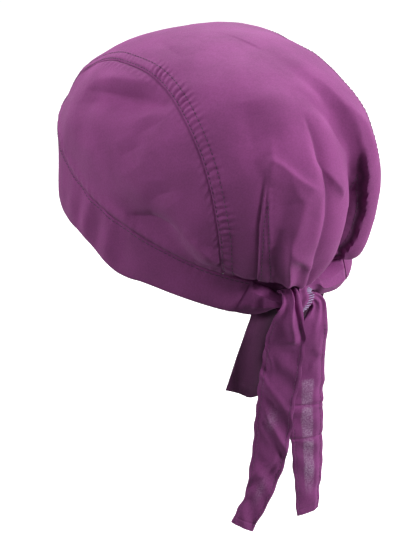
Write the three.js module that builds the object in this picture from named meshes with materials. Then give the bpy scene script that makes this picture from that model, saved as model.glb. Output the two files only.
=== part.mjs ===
// Bandana cap in its worn form: a three-panel crown with a tail at the nape, a headband and two
// ties in one knot at the back.
// Millimetres, +Z up, front at -Y, the wearer's left at +X.
// The origin is the middle of the head opening, halfway up the headband.
import * as THREE from 'three';

// Driving sizes
const bandLength = 202;         // outside of the headband, front to back
const bandWidth = 160;          // outside of the headband, side to side
const bandFrontTaper = 0.14;    // share by which its front corners are narrower than an ellipse
const bandPitch = 18;           // degrees that the front of the band stands over the back
const bandDepth = 42;           // full height of the headband at the forehead
const bandWall = 2;             // folded cloth of the headband
const bandEnd = 152;            // degrees from the front where each tie is sewn on
const bandEndLean = 3.3;        // degrees that the seam there leans back at its top, forward below
const crownHeight = 102.5;      // top of the crown over the origin
const crownSetBack = 16;        // top of the crown behind the origin
const clothWall = 1.2;          // cloth of the crown and of the tail
const frontCorner = 40;         // degrees from the front where a side panel starts
const backCorner = 145;         // degrees from the front where a side panel ends
const fellWidth = 0.127;        // felled seam strip, as a share of the half width of the centre panel
const fellHeight = 0.7;         // extra cloth in the felled seam strip
const foldWidth = 12;           // width that the shares in the fold table multiply
const foldDepth = 5;            // depth that the shares in the fold table multiply
const napeTuck = 7.5;           // how far the ties draw the nape in
const napeSag = 6;              // how far the loose cloth sags over the ties
const tailLength = 71;          // tail below the crown at the middle of the nape
const tailCornerRise = 11;      // tail shorter by this at its side edges
const tieWidth = 23;
const tieWall = 1.4;
const tieFallFront = 134;       // front tie below the middle of the knot
const tieFallBack = 138.5;      // rear tie below the middle of the knot
const knotRadius = 6.2;         // middle of the first wrap from the axis of the knot
const knotOffset = 5.5;         // knot beside the middle of the nape, towards the wearer's left
const knotDrop = 1.2;           // knot below the middle of the headband
const gap = 0.3;                // clearance between pieces that are sewn or lie together

const halfLength = bandLength / 2;
const halfWidth = bandWidth / 2;
const radians = THREE.MathUtils.degToRad;

// Headband: degrees from the front, height over and under its middle line as shares of bandDepth
const bandRows = [
  [0, 0.36, 0.50],
  [30, 0.37, 0.50],
  [50, 0.41, 0.51],
  [66, 0.42, 0.53],
  [75, 0.385, 0.465],
  [84, 0.35, 0.40],
  [91, 0.33, 0.40],
  [102, 0.325, 0.455],
  [108, 0.33, 0.42],
  [114, 0.325, 0.345],
  [122, 0.315, 0.29],
  [134, 0.288, 0.257],
  [152, 0.25, 0.257],
  [164, 0.20, 0.25],
  [180, 0.175, 0.24],
];

// Crown from the headband up to the top in equal steps: rise as a share of the height over the
// band, reach to the front, side and back as shares of the band's half sizes
const crownRows = [
  [0.00, 1.00, 1.00, 1.00],
  [0.13, 0.93, 1.00, 1.14],
  [0.30, 0.83, 1.00, 1.20],
  [0.48, 0.71, 0.95, 1.18],
  [0.66, 0.57, 0.84, 1.07],
  [0.81, 0.42, 0.67, 0.88],
  [0.92, 0.28, 0.46, 0.61],
  [0.98, 0.14, 0.23, 0.31],
  [1.00, 0.00, 0.00, 0.00],
];

// Seam between the centre and a side panel on the crown's unit disk: back, side
const seamRows = [
  [-0.766, 0.643],
  [-0.40, 0.465],
  [-0.12, 0.378],
  [0.12, 0.360],
  [0.38, 0.406],
  [0.60, 0.490],
  [0.819, 0.574],
];

// Folds and dents: width as a share of foldWidth, then the points of the line that the fold
// follows on the unit disk, each with side, back and depth as a share of foldDepth
const folds = [
  { width: 0.85, line: [[-0.03, 0.33, -0.2], [-0.12, 0.45, -0.8], [-0.24, 0.56, -2.2],
    [-0.33, 0.70, -3.6], [-0.375, 0.85, -3.6], [-0.38, 0.95, -2.6]] },
  { width: 0.9, line: [[-0.46, 0.52, 0.1], [-0.52, 0.66, 0.5], [-0.53, 0.75, 1.6], [-0.50, 0.81, 2.4]] },
  { width: 0.7, line: [[0.02, 0.22, -0.1], [0.05, 0.48, -0.35], [0.09, 0.85, -0.3]] },
  { width: 0.8, line: [[0.13, 0.56, 0.2], [0.20, 0.70, 0.5], [0.18, 0.90, 0.4]] },
  { width: 1.0, line: [[0.55, -0.16, -0.2], [0.45, 0.06, -0.5], [0.40, 0.20, -0.2]] },
  { width: 1.1, line: [[0.87, 0.32, -0.3], [0.76, 0.45, -0.6], [0.67, 0.62, -0.4]] },
  { width: 1.0, line: [[0.62, 0.58, 0.4], [0.60, 0.70, 0.8], [0.56, 0.79, 0.5]] },
  { width: 1.6, line: [[0.30, -0.62, 0.3], [0.38, -0.50, 0.6], [0.30, -0.36, 0.4]] },
];

// Pull of the ties at the nape: degrees from the back, share of napeTuck
const tuckRows = [
  [0, 1.00],
  [10, 0.92],
  [19, 0.70],
  [28, 0.36],
  [36, 0.00],
];

// Tail down from the crown: share of the way down, reach to the left and right as shares of its
// half width at the crown; the ties draw its right side in
const tailRows = [
  [0.00, 1.00, 1.00],
  [0.17, 0.95, 0.72],
  [0.30, 0.87, 0.53],
  [0.50, 0.96, 0.46],
  [0.72, 1.07, 0.43],
  [1.00, 1.19, 0.41],
];

// Ties from the end of the headband to the knot. Along is the share of the way, off the distance
// from the nape and lift the height over the straight way, both as shares of knotRadius, then
// width as a share of tieWidth, thickness as a share of tieWall and the turn of the width from
// upright towards the way of the fall, in degrees.
const leadRowsLeft = [
  // along, off, lift, width, thickness, turn
  [0.18, 0.05, -0.10, 0.88, 1.1, 0],
  [0.36, 0.22, -0.16, 0.72, 1.4, 0],
  [0.58, 0.72, -0.04, 0.37, 3.1, 0],
];
const leadRowsRight = [
  [0.18, 0.05, -0.05, 0.84, 1.1, 0],
  [0.40, 0.12, 0.00, 0.68, 1.3, 0],
  [0.62, 0.26, 0.26, 0.48, 1.4, 6],
  [0.80, 0.58, 0.80, 0.38, 1.4, 30],
];

// Left tie in and below the knot: side, out and drop from the middle of the knot as shares of
// knotRadius, then width, thickness and turn as above
const knotRowsLeft = [
  [1.30, 0.00, 0.00, 0.31, 4.8, 0],
  [0.00, 0.00, 0.02, 0.32, 5.1, 0],
  [-1.12, 0.03, 0.10, 0.32, 4.6, 14],
  [-1.56, 0.24, 0.76, 0.30, 4.2, 60],
  [-1.54, 0.60, 1.68, 0.42, 3.0, 90],
];
// Right tie round the knot: degrees over the top, side and radius as shares of knotRadius,
// then width, thickness and turn as above
const wrapRear = 1.17;          // radius of the wrap between the knot and the nape, as a share
const wrapRows = [
  [18, -0.10, 1.00, 0.40, 1.2, 66],
  [60, 0.10, 1.02, 0.46, 1.2, 90],
  [95, 0.60, 1.03, 0.46, 1.2, 90],
  [135, 1.25, 1.05, 0.44, 1.2, 90],
  [200, 1.55, 1.10, 0.40, 1.2, 90],
  [270, 1.50, wrapRear, 0.40, 1.1, 90],
  [325, 1.45, 1.34, 0.39, 1.1, 90],
  [375, 1.72, 1.36, 0.48, 1.1, 90],
  [420, 2.18, 1.44, 0.58, 1.1, 90],
];

// Hanging ends: drop as a share of the fall, side and out from the knot, width as shares of
// tieWidth, thickness as a share of tieWall
const fallRowsFront = [
  [0.05, 0.74, 0.42, 0.82, 1.1],
  [0.12, 0.77, 0.37, 0.96, 1.0],
  [0.24, 0.79, 0.27, 1.00, 1.0],
  [0.41, 0.86, 0.14, 0.96, 1.0],
  [0.64, 0.92, 0.01, 0.92, 1.0],
  [0.77, 1.01, -0.08, 0.88, 1.0],
  [0.88, 1.20, -0.13, 0.84, 1.0],
  [0.94, 1.43, -0.17, 0.86, 1.0],
  [1.00, 1.64, -0.21, 0.90, 1.0],
];
const fallRowsBack = [
  [0.115, -0.34, 0.23, 0.64, 1.6],
  [0.16, -0.22, 0.24, 0.86, 1.1],
  [0.22, -0.15, 0.21, 0.97, 1.0],
  [0.36, -0.17, 0.13, 1.00, 1.0],
  [0.54, -0.22, 0.05, 0.97, 1.0],
  [0.75, -0.30, -0.05, 0.92, 1.0],
  [0.92, -0.39, -0.11, 0.88, 1.0],
  [1.00, -0.44, -0.13, 0.88, 1.0],
];
const fallFacing = 24;          // degrees that the hanging ends face towards the wearer's left

// Smooth curve through the rows of a table, read at x in the first column
function readRows(rows, x) {
  const last = rows.length - 1;
  let i = 0;
  while (i < last - 1 && x > rows[i + 1][0]) i += 1;
  const before = rows[Math.max(0, i - 1)];
  const after = rows[Math.min(last, i + 2)];
  const [from, to] = [rows[i], rows[i + 1]];
  const step = to[0] - from[0];
  const f = THREE.MathUtils.clamp((x - from[0]) / step, 0, 1);
  return from.slice(1).map((value, k) => {
    const next = to[k + 1];
    const slopeIn = (next - before[k + 1]) / (to[0] - before[0]) * step;
    const slopeOut = (after[k + 1] - value) / (after[0] - from[0]) * step;
    const rest = next - value;
    return value + f * slopeIn + f * f * (3 * rest - 2 * slopeIn - slopeOut)
      + f * f * f * (slopeIn + slopeOut - 2 * rest);
  });
}

// Headband: its plan is an ellipse with narrower front corners, and its middle line lies in a
// plane that rises to the front
function planPoint(angle) {
  const taper = bandFrontTaper * Math.max(0, Math.cos(angle)) ** 3;
  return new THREE.Vector3(halfWidth * (1 - taper) * Math.sin(angle), -halfLength * Math.cos(angle), 0);
}

function planNormal(angle) {
  const step = 0.001;
  const ahead = planPoint(angle + step).sub(planPoint(angle - step));
  return new THREE.Vector3(ahead.y, -ahead.x, 0).normalize();
}

function degreesFromFront(angle) {
  return THREE.MathUtils.radToDeg(Math.acos(THREE.MathUtils.clamp(Math.cos(angle), -1, 1)));
}

function middleHeight(angle) {
  return -planPoint(angle).y * Math.tan(radians(bandPitch));
}

function bandTop(angle) {
  return middleHeight(angle) + bandDepth * readRows(bandRows, degreesFromFront(angle))[0];
}

function bandBottom(angle) {
  return middleHeight(angle) - bandDepth * readRows(bandRows, degreesFromFront(angle))[1];
}

function tuckDepth(angle) {
  const fromBack = 180 - degreesFromFront(angle);
  return fromBack < tuckRows.at(-1)[0] ? napeTuck * readRows(tuckRows, fromBack)[0] : 0;
}

// Crown: the unit disk stands for the whole crown, its rim for the seam on the headband and its
// centre for the top; side and back are the place on the disk
function crownRow(share) {
  const last = crownRows.length - 1;
  const place = THREE.MathUtils.clamp(share, 0, 1) * last;
  const i = Math.min(Math.floor(place), last - 1);
  const f = place - i;
  const [from, to] = [crownRows[i], crownRows[i + 1]];
  const before = crownRows[i - 1] ?? from.map((value, k) => 2 * value - to[k]);
  const after = crownRows[i + 2] ?? from.map((value, k) => (k ? -value : value));
  return from.map((value, k) => 0.5 * (2 * value + f * (to[k] - before[k])
    + f * f * (2 * before[k] - 5 * value + 4 * to[k] - after[k])
    + f * f * f * (3 * value - before[k] - 3 * to[k] + after[k])));
}

function smoothCrown(side, back) {
  const angle = Math.atan2(side, -back);
  const [rise, front, across, rear] = crownRow(1 - Math.hypot(side, back));
  const ahead = Math.max(0, Math.cos(angle)) ** 2;
  const behind = Math.max(0, -Math.cos(angle)) ** 2;
  const reach = front * ahead + rear * behind + across * Math.sin(angle) ** 2;
  const height = bandTop(angle) * (1 - rise) + crownHeight * rise;
  return planPoint(angle).multiplyScalar(reach).add(new THREE.Vector3(0, crownSetBack * rise, height));
}

// Normal of a surface on the disk, from its slopes a little inside the rim
function surfaceNormal(surface, side, back) {
  const step = 0.012;
  const pull = Math.min(1, (1 - 2 * step) / Math.max(Math.hypot(side, back), step));
  const [s, b] = [side * pull, back * pull];
  const sideSlope = surface(s + step, b).sub(surface(s - step, b));
  const backSlope = surface(s, b + step).sub(surface(s, b - step));
  return sideSlope.cross(backSlope).normalize();
}

// Folds: each point of a fold's line is laid on the smooth crown, and the cloth near the line
// moves by the depth there, less with the square of the distance
const foldLines = folds.map(({ width, line }) => ({
  width: width * foldWidth,
  points: line.map(([side, back]) => smoothCrown(side, back)),
  depths: line.map((row) => row[2] * foldDepth),
}));

function foldShift(point) {
  let shift = 0;
  for (const { width, points, depths } of foldLines) {
    let nearest = Infinity;
    let depth = 0;
    for (let i = 0; i < points.length - 1; i += 1) {
      const along = points[i + 1].clone().sub(points[i]);
      const share = THREE.MathUtils.clamp(point.clone().sub(points[i]).dot(along) / along.lengthSq(), 0, 1);
      const distance = points[i].clone().addScaledVector(along, share).distanceTo(point);
      if (distance < nearest) {
        nearest = distance;
        depth = THREE.MathUtils.lerp(depths[i], depths[i + 1], share);
      }
    }
    shift += depth * Math.exp(-((nearest / width) ** 2));
  }
  return shift;
}

// Outer skin of the nape and the tail: the headband's plan, drawn in by the ties
function napePoint(angle) {
  return planPoint(angle).addScaledVector(planNormal(angle), -tuckDepth(angle));
}

// Crown with its folds, which fade out towards the headband. At the nape the ties hold its edge,
// fully where they pull it in by a third or more, and the cloth above sags. All four stretches are
// measured on the disk from its rim.
const rimStretch = 0.1;         // folds fade out below here
const heldStretch = 0.02;       // held against the nape up to here
const freeStretch = 0.055;      // hanging free from here
const sagStretch = 0.28;        // the sag ends here
const heldPull = 1 / 3;         // share of the tuck from which the edge is fully held

function crownPoint(side, back) {
  const angle = Math.atan2(side, -back);
  const fromRim = 1 - Math.hypot(side, back);
  const fade = THREE.MathUtils.smoothstep(fromRim, 0, rimStretch);
  const point = smoothCrown(side, back);
  point.addScaledVector(surfaceNormal(smoothCrown, side, back), foldShift(point) * fade);
  const held = Math.min(1, tuckDepth(angle) / (heldPull * napeTuck));
  point.z -= napeSag * held * fade * (1 - THREE.MathUtils.smoothstep(fromRim, rimStretch, sagStretch));
  const hold = held * (1 - THREE.MathUtils.smoothstep(fromRim, heldStretch, freeStretch));
  return point.lerp(napePoint(angle).setZ(point.z), hold);
}

// Direction of the wall on the crown, level at the seam on the headband
function wallDirection(side, back) {
  const angle = Math.atan2(side, -back);
  const level = THREE.MathUtils.clamp(1 - (1 - Math.hypot(side, back)) / (rimStretch / 2), 0, 1);
  return surfaceNormal(crownPoint, side, back).lerp(planNormal(angle), level).normalize();
}

// Closed wall over the cells of a grid. place(i, j) gives the outer and inner point; each edge
// that only one cell uses gets a strip between the two skins.
function closedWall(cells, place) {
  const positions = [];
  const numbers = new Map();
  const corner = (i, j) => {
    const key = `${i},${j}`;
    if (!numbers.has(key)) {
      numbers.set(key, positions.length / 3);
      const [outer, inner] = place(i, j);
      positions.push(...outer.toArray(), ...inner.toArray());
    }
    return numbers.get(key);
  };
  const triangles = [];
  const edges = new Map();
  for (const [i, j] of cells) {
    const ring = [corner(i, j), corner(i + 1, j), corner(i + 1, j + 1), corner(i, j + 1)];
    triangles.push(ring[0], ring[1], ring[2], ring[0], ring[2], ring[3]);
    triangles.push(ring[2] + 1, ring[1] + 1, ring[0] + 1, ring[3] + 1, ring[2] + 1, ring[0] + 1);
    ring.forEach((from, k) => {
      const to = ring[(k + 1) % 4];
      if (!edges.delete(`${to},${from}`)) edges.set(`${from},${to}`, [from, to]);
    });
  }
  for (const [from, to] of edges.values()) {
    triangles.push(to, from, from + 1, to, from + 1, to + 1);
  }
  const geometry = new THREE.BufferGeometry();
  geometry.setAttribute('position', new THREE.Float32BufferAttribute(positions, 3));
  geometry.setIndex(triangles);
  return geometry;
}

function gridCells(columns, rows) {
  const cells = [];
  for (let i = 0; i < columns; i += 1) {
    for (let j = 0; j < rows; j += 1) cells.push([i, j]);
  }
  return cells;
}

// Outer and inner point of a wall at a place on its outer skin. Raised cloth stands proud of the
// skin; at a seam the wall is drawn back from it, towards a point inside its own panel.
function wallPair(outer, direction, raised, inside) {
  const back = inside ? inside.clone().sub(outer).setLength(gap / 2) : new THREE.Vector3();
  return [
    outer.clone().add(back).addScaledVector(direction, raised),
    outer.clone().add(back).addScaledVector(direction, -clothWall),
  ];
}

const nearSeam = 0.03;          // share of a panel that gives the direction away from its seam
const seamSteps = 34;           // steps along the seam, the same for the panels on both sides

// Seam line on the disk: along is 0 at the front corner and 1 at the back corner
function seamPlace(along) {
  const back = THREE.MathUtils.lerp(seamRows[0][0], seamRows.at(-1)[0], along);
  return [readRows(seamRows, back)[0], back];
}

// Centre panel, with the tail below its back edge. Its columns are symmetrical: the tail's edge
// lies where the headband ends, and the felled strip takes the last column at each side.
function centrePanel() {
  const tailSteps = 7;
  const backSpan = Math.sin(radians(backCorner));
  const tailEdge = Math.sin(radians(bandEnd)) / backSpan;
  const fellEdge = 1 - fellWidth;
  const inner = [0, 0.17, 0.34, 0.51, 0.68, 0.84].map((share) => share * tailEdge);
  const half = [...inner, tailEdge, fellEdge - 0.012, fellEdge + 0.012, 1];
  const shares = [...half.slice(1).reverse().map((share) => -share), ...half];
  const firstTail = half.length - 1 - inner.length;
  const lastTail = shares.length - 1 - firstTail;

  const diskPlace = (across, along) => {
    const [side, back] = seamPlace(along);
    const frontSpan = Math.sin(radians(frontCorner));
    const frontArc = Math.cos(radians(frontCorner)) - Math.sqrt(1 - (across * frontSpan) ** 2);
    const backArc = Math.cos(radians(backCorner)) + Math.sqrt(1 - (across * backSpan) ** 2);
    return [across * side, back + (1 - along) * frontArc + along * backArc];
  };

  const onCrown = (across, along) => {
    const place = diskPlace(across, along);
    const atSeam = Math.abs(across) === 1;
    const inside = atSeam ? crownPoint(...diskPlace(across * (1 - nearSeam), along)) : null;
    const raised = Math.abs(across) > fellEdge ? fellHeight : 0;
    return wallPair(crownPoint(...place), wallDirection(...place), raised, inside);
  };

  const onTail = (share, down) => {
    const [leftReach, rightReach] = readRows(tailRows, down);
    const angle = Math.PI - Math.asin(share * backSpan * (share > 0 ? leftReach : rightReach));
    const lowEdge = bandTop(Math.PI) - tailLength + tailCornerRise * (share / tailEdge) ** 2;
    const outer = napePoint(angle);
    outer.z = THREE.MathUtils.lerp(bandTop(Math.PI - Math.asin(share * backSpan)), lowEdge, down);
    return wallPair(outer, planNormal(angle), 0, null);
  };

  const cells = gridCells(shares.length - 1, seamSteps);
  for (let i = firstTail; i < lastTail; i += 1) {
    for (let j = seamSteps; j < seamSteps + tailSteps; j += 1) cells.push([i, j]);
  }
  return closedWall(cells, (i, j) => (j > seamSteps
    ? onTail(shares[i], (j - seamSteps) / tailSteps)
    : onCrown(shares[i], j / seamSteps)));
}

// Side panel between the seam and the headband; hand is 1 for the wearer's left, -1 for the right.
// Its two corners end just before the seam meets the headband.
function sidePanel(hand) {
  const across = 11;
  const cornerShare = 0.005;
  const place = (out, share) => {
    const [side, back] = seamPlace(share);
    const angle = radians(THREE.MathUtils.lerp(frontCorner, backCorner, share));
    const towards = [Math.sin(angle), -Math.cos(angle)];
    return [hand * THREE.MathUtils.lerp(side, towards[0], out), THREE.MathUtils.lerp(back, towards[1], out)];
  };
  return closedWall(gridCells(across, seamSteps), (i, j) => {
    const out = hand > 0 ? i / across : 1 - i / across;
    const share = THREE.MathUtils.lerp(cornerShare, 1 - cornerShare, j / seamSteps);
    const inside = out === 0 ? crownPoint(...place(nearSeam, share)) : null;
    return wallPair(crownPoint(...place(out, share)), wallDirection(...place(out, share)), 0, inside);
  });
}

// Headband from one tie round the front to the other, a clearance under the crown's edge. The seam
// at its end leans: up is 0 at the lower edge and 1 at the upper edge.
function endAngle(up) {
  return radians(bandEnd + bandEndLean * (2 * up - 1));
}

function bandPoint(angle, up) {
  return planPoint(angle).setZ(THREE.MathUtils.lerp(bandBottom(angle), bandTop(angle) - gap, up));
}

function headband() {
  const around = 64;
  const high = 3;
  return closedWall(gridCells(around, high), (i, j) => {
    const angle = (2 * i / around - 1) * endAngle(j / high);
    const outer = bandPoint(angle, j / high);
    return [outer, outer.clone().addScaledVector(planNormal(angle), -bandWall)];
  });
}

// Middle of the knot: against the nape, beside its middle
const knotAngle = Math.PI - Math.asin(knotOffset / halfWidth);
const knotCentre = napePoint(knotAngle).addScaledVector(
  planNormal(knotAngle),
  knotRadius * wrapRear + tieWall + gap,
).setZ(middleHeight(Math.PI) - knotDrop);

// Direction of a tie's width: upright, turned towards the way of the fall and then facing aside
function widthDirection(hand, turn, facing) {
  const level = new THREE.Vector3(-hand * Math.cos(radians(facing)), hand * Math.sin(radians(facing)), 0);
  return new THREE.Vector3(0, 0, Math.cos(radians(turn))).addScaledVector(level, Math.sin(radians(turn)));
}

function station(point, direction, width, thickness) {
  return { point, direction, width: width * tieWidth, thickness: thickness * tieWall };
}

// Where a tie leaves the headband; hand is 1 for the left tie
function sewnEnd(hand) {
  const away = 2 * gap / halfLength;
  const [low, high] = [0, 1].map((up) => {
    const angle = hand * (endAngle(up) + away);
    return bandPoint(angle, up).addScaledVector(planNormal(angle), -bandWall / 2);
  });
  const across = high.clone().sub(low);
  const middle = low.clone().add(high).divideScalar(2);
  return station(middle, across.clone().normalize(), across.length() / tieWidth, bandWall / tieWall);
}

function leadStations(hand, rows) {
  const start = hand * radians(bandEnd);
  const end = hand > 0 ? knotAngle : knotAngle - 2 * Math.PI;
  const startHeight = sewnEnd(hand).point.z;
  return rows.map(([along, off, lift, width, thickness, turn]) => {
    const angle = THREE.MathUtils.lerp(start, end, along);
    const away = gap + thickness * tieWall / 2 + off * knotRadius;
    const point = napePoint(angle).addScaledVector(planNormal(angle), away);
    point.z = THREE.MathUtils.lerp(startHeight, knotCentre.z, along) + lift * knotRadius;
    return station(point, widthDirection(hand, turn, 0), width, thickness);
  });
}

function knotStations(rows) {
  return rows.map(([side, out, drop, width, thickness, turn]) => {
    const point = knotCentre.clone().addScaledVector(new THREE.Vector3(side, out, -drop), knotRadius);
    return station(point, widthDirection(1, turn, 0), width, thickness);
  });
}

// The wrap goes over the top of the knot, down its outside and up between it and the nape
function wrapStations(rows) {
  return rows.map(([over, side, radius, width, thickness, turn]) => {
    const angle = radians(over);
    const offset = new THREE.Vector3(side, radius * Math.sin(angle), radius * Math.cos(angle));
    const point = knotCentre.clone().addScaledVector(offset, knotRadius);
    return station(point, widthDirection(-1, turn, 0), width, thickness);
  });
}

function fallStations(hand, fall, rows) {
  return rows.map(([drop, side, out, width, thickness]) => {
    const offset = new THREE.Vector3(side * tieWidth, out * tieWidth, -drop * fall);
    return station(knotCentre.clone().add(offset), widthDirection(hand, 90, fallFacing), width, thickness);
  });
}

// Cloth tie through its stations: a flat section with thinner edges, carried along a smooth way
function ribbon(stations) {
  const stepLength = 3.4;
  const section = [
    [-1, 0.4], [-0.55, 0.95], [0, 1], [0.55, 0.95], [1, 0.4],
    [1, -0.4], [0.55, -0.95], [0, -1], [-0.55, -0.95], [-1, -0.4],
  ];
  let travelled = 0;
  const rows = stations.map(({ point, direction, width, thickness }, i) => {
    if (i) travelled += point.distanceTo(stations[i - 1].point);
    return [travelled, ...point.toArray(), ...direction.toArray(), width, thickness];
  });
  const steps = Math.ceil(travelled / stepLength);
  const middle = (share) => new THREE.Vector3(...readRows(rows, share * travelled));
  const positions = [];
  for (let k = 0; k <= steps; k += 1) {
    const [x, y, z, acrossX, acrossY, acrossZ, width, thickness] = readRows(rows, k / steps * travelled);
    const reach = 0.2 / steps;
    const forward = middle(Math.min(1, k / steps + reach)).sub(middle(Math.max(0, k / steps - reach)));
    const across = new THREE.Vector3(acrossX, acrossY, acrossZ).normalize();
    const facing = forward.cross(across).normalize();
    for (const [side, up] of section) {
      const point = new THREE.Vector3(x, y, z).addScaledVector(across, side * width / 2);
      positions.push(...point.addScaledVector(facing, up * thickness / 2).toArray());
    }
  }
  const round = section.length;
  const triangles = [];
  for (let k = 0; k < steps; k += 1) {
    for (let n = 0; n < round; n += 1) {
      const [a, b] = [k * round + n, k * round + (n + 1) % round];
      triangles.push(a, a + round, b + round, a, b + round, b);
    }
  }
  const end = steps * round;
  for (let n = 1; n < round - 1; n += 1) {
    triangles.push(0, n, n + 1, end, end + n + 1, end + n);
  }
  const geometry = new THREE.BufferGeometry();
  geometry.setAttribute('position', new THREE.Float32BufferAttribute(positions, 3));
  geometry.setIndex(triangles);
  return geometry;
}

function tieLeft() {
  return ribbon([
    sewnEnd(1),
    ...leadStations(1, leadRowsLeft),
    ...knotStations(knotRowsLeft),
    ...fallStations(1, tieFallBack, fallRowsBack),
  ]);
}

function tieRight() {
  return ribbon([
    sewnEnd(-1),
    ...leadStations(-1, leadRowsRight),
    ...wrapStations(wrapRows),
    ...fallStations(-1, tieFallFront, fallRowsFront),
  ]);
}

// Plum cotton, a little lighter on the ties
function cotton(name, geometry, color) {
  const material = new THREE.MeshStandardMaterial({ color, roughness: 0.85, metalness: 0 });
  geometry.computeVertexNormals();
  const mesh = new THREE.Mesh(geometry, material);
  mesh.name = name;
  return mesh;
}

const group = new THREE.Group();
group.add(
  cotton('centre_panel', centrePanel(), 0x7e3d72),
  cotton('side_panel_left', sidePanel(1), 0x7a3a6e),
  cotton('side_panel_right', sidePanel(-1), 0x7a3a6e),
  cotton('headband', headband(), 0x743768),
  cotton('tie_left', tieLeft(), 0x7c3e72),
  cotton('tie_right', tieRight(), 0x7c3e72),
);

export default group;
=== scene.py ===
# Bandana cap in plum cotton, tied at the back. Metres, front at -Y, the wearer's left at +X.
import math

import bpy
import numpy as np
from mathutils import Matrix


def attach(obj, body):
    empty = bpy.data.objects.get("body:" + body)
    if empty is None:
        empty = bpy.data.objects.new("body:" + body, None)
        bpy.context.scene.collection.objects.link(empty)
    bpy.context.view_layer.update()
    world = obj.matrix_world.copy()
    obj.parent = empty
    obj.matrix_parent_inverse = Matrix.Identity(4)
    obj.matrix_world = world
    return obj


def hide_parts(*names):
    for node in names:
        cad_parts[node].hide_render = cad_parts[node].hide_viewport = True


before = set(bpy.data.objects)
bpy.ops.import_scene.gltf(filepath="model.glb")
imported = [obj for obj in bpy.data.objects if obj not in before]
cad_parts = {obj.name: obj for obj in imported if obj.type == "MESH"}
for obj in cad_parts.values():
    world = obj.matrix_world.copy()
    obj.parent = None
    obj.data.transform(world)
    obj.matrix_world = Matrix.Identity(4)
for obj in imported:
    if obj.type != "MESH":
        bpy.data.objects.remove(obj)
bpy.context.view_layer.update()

mm = 0.001  # shapes are worked out in millimetres, meshes are in metres
phaseRange = 6.28  # radians, one turn for random phases


# numbers and curves

def readRows(rows, x):
    # Cubic through the rows of a table, read at x in the first column; slopes from the neighbours
    rows = np.asarray(rows, float)
    x = np.asarray(x, float)
    last = len(rows) - 1
    i = np.searchsorted(rows[1:last, 0], x, side="left")
    before, value = rows[np.maximum(i - 1, 0)], rows[i]
    after, upper = rows[np.minimum(i + 2, last)], rows[i + 1]
    step = (upper[..., 0] - value[..., 0])[..., None]
    f = np.clip((x[..., None] - value[..., :1]) / step, 0, 1)
    rise = upper[..., 1:] - value[..., 1:]
    slopeIn = (upper - before)[..., 1:] / (upper - before)[..., :1] * step
    slopeOut = (after - value)[..., 1:] / (after - value)[..., :1] * step
    return (value[..., 1:] + f * slopeIn + f ** 2 * (3 * rise - 2 * slopeIn - slopeOut)
            + f ** 3 * (slopeIn + slopeOut - 2 * rise))


def smooth(x, low, high):
    # 0 below low, 1 above high, an S curve between
    f = np.clip((x - low) / (high - low), 0, 1)
    return f * f * (3 - 2 * f)


def window(x, rise, full, fade, gone):
    # 0 before rise, 1 from full to fade, 0 again from gone
    return smooth(x, rise, full) * (1 - smooth(x, fade, gone))


def bump(x, centre, width):
    # Bell curve of height 1
    return np.exp(-((x - centre) / width) ** 2)


def unit(v):
    return v / np.maximum(np.linalg.norm(v, axis=-1, keepdims=True), 1e-9)


def ripple(x, pitch, seed):
    # Uneven wave along x: a sine whose phase and height drift with slower sines
    a, b, c, d = np.random.default_rng(seed).uniform(0, phaseRange, 4)
    phase = 2 * np.pi * x / pitch + 1.1 * np.sin(x / (2.3 * pitch) + a) + 0.6 * np.sin(x / (1.1 * pitch) + b)
    return np.sin(phase) * (0.65 + 0.35 * np.sin(x / (1.9 * pitch) + c) * np.sin(x / (3.7 * pitch) + d))


def mottle(p, size, seed):
    # Soft noise in space: a sum of plane waves in fixed random directions, 0.7 to 1.6 times size long
    r = np.random.default_rng(seed)
    total, waves = np.zeros(p.shape[:-1]), 9
    for _ in range(waves):
        k = unit(r.normal(size=3)) * 2 * np.pi / (size * r.uniform(0.7, 1.6))
        total += np.sin(p @ k + r.uniform(0, phaseRange))
    return total / math.sqrt(waves)


def along(points):
    # Distance travelled along the last-but-one axis of a line of points
    steps = np.linalg.norm(np.diff(points, axis=-2), axis=-1)
    return np.concatenate([np.zeros(steps.shape[:-1] + (1,)), np.cumsum(steps, -1)], -1)


def alongColumn(p, column):
    # The same for one column of a grid, spread over the whole grid
    return np.broadcast_to(along(p[:, column])[:, None], p.shape[:2])


def gridNormals(p):
    # Normal of a grid from its slopes along both directions
    return unit(np.cross(np.gradient(p, axis=0), np.gradient(p, axis=1)))


# main shape: the same sizes and tables as the solids

cap = {
    "bandLength": 202, "bandWidth": 160, "bandFrontTaper": 0.14, "bandPitch": 18,
    "bandDepth": 42, "bandEnd": 152, "bandEndLean": 3.3, "crownHeight": 102.5, "crownSetBack": 16,
    "frontCorner": 40, "backCorner": 145, "napeTuck": 7.5, "napeSag": 6,
    "rimStretch": 0.1, "heldStretch": 0.02, "freeStretch": 0.055, "sagStretch": 0.28,
    "tieWidth": 23, "tieWall": 1.4, "knotRadius": 6.2, "knotOffset": 5.5, "knotDrop": 1.2, "gap": 0.3,
    "tailLength": 71, "tailCornerRise": 11, "tieFallFront": 134, "tieFallBack": 138.5,
}
halfLength, halfWidth = cap["bandLength"] / 2, cap["bandWidth"] / 2

# degrees from the front, height over and under the middle line as shares of bandDepth
bandRows = [[0, .36, .50], [30, .37, .50], [50, .41, .51], [66, .42, .53], [75, .385, .465], [84, .35, .40],
            [91, .33, .40], [102, .325, .455], [108, .33, .42], [114, .325, .345], [122, .315, .29],
            [134, .288, .257], [152, .25, .257], [164, .20, .25], [180, .175, .24]]
# rise, reach to the front, side and back in equal steps from the headband to the top
crownRows = np.array([[0, 1, 1, 1], [.13, .93, 1, 1.14], [.30, .83, 1, 1.20], [.48, .71, .95, 1.18],
                      [.66, .57, .84, 1.07], [.81, .42, .67, .88], [.92, .28, .46, .61], [.98, .14, .23, .31],
                      [1, 0, 0, 0]], float)
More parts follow.
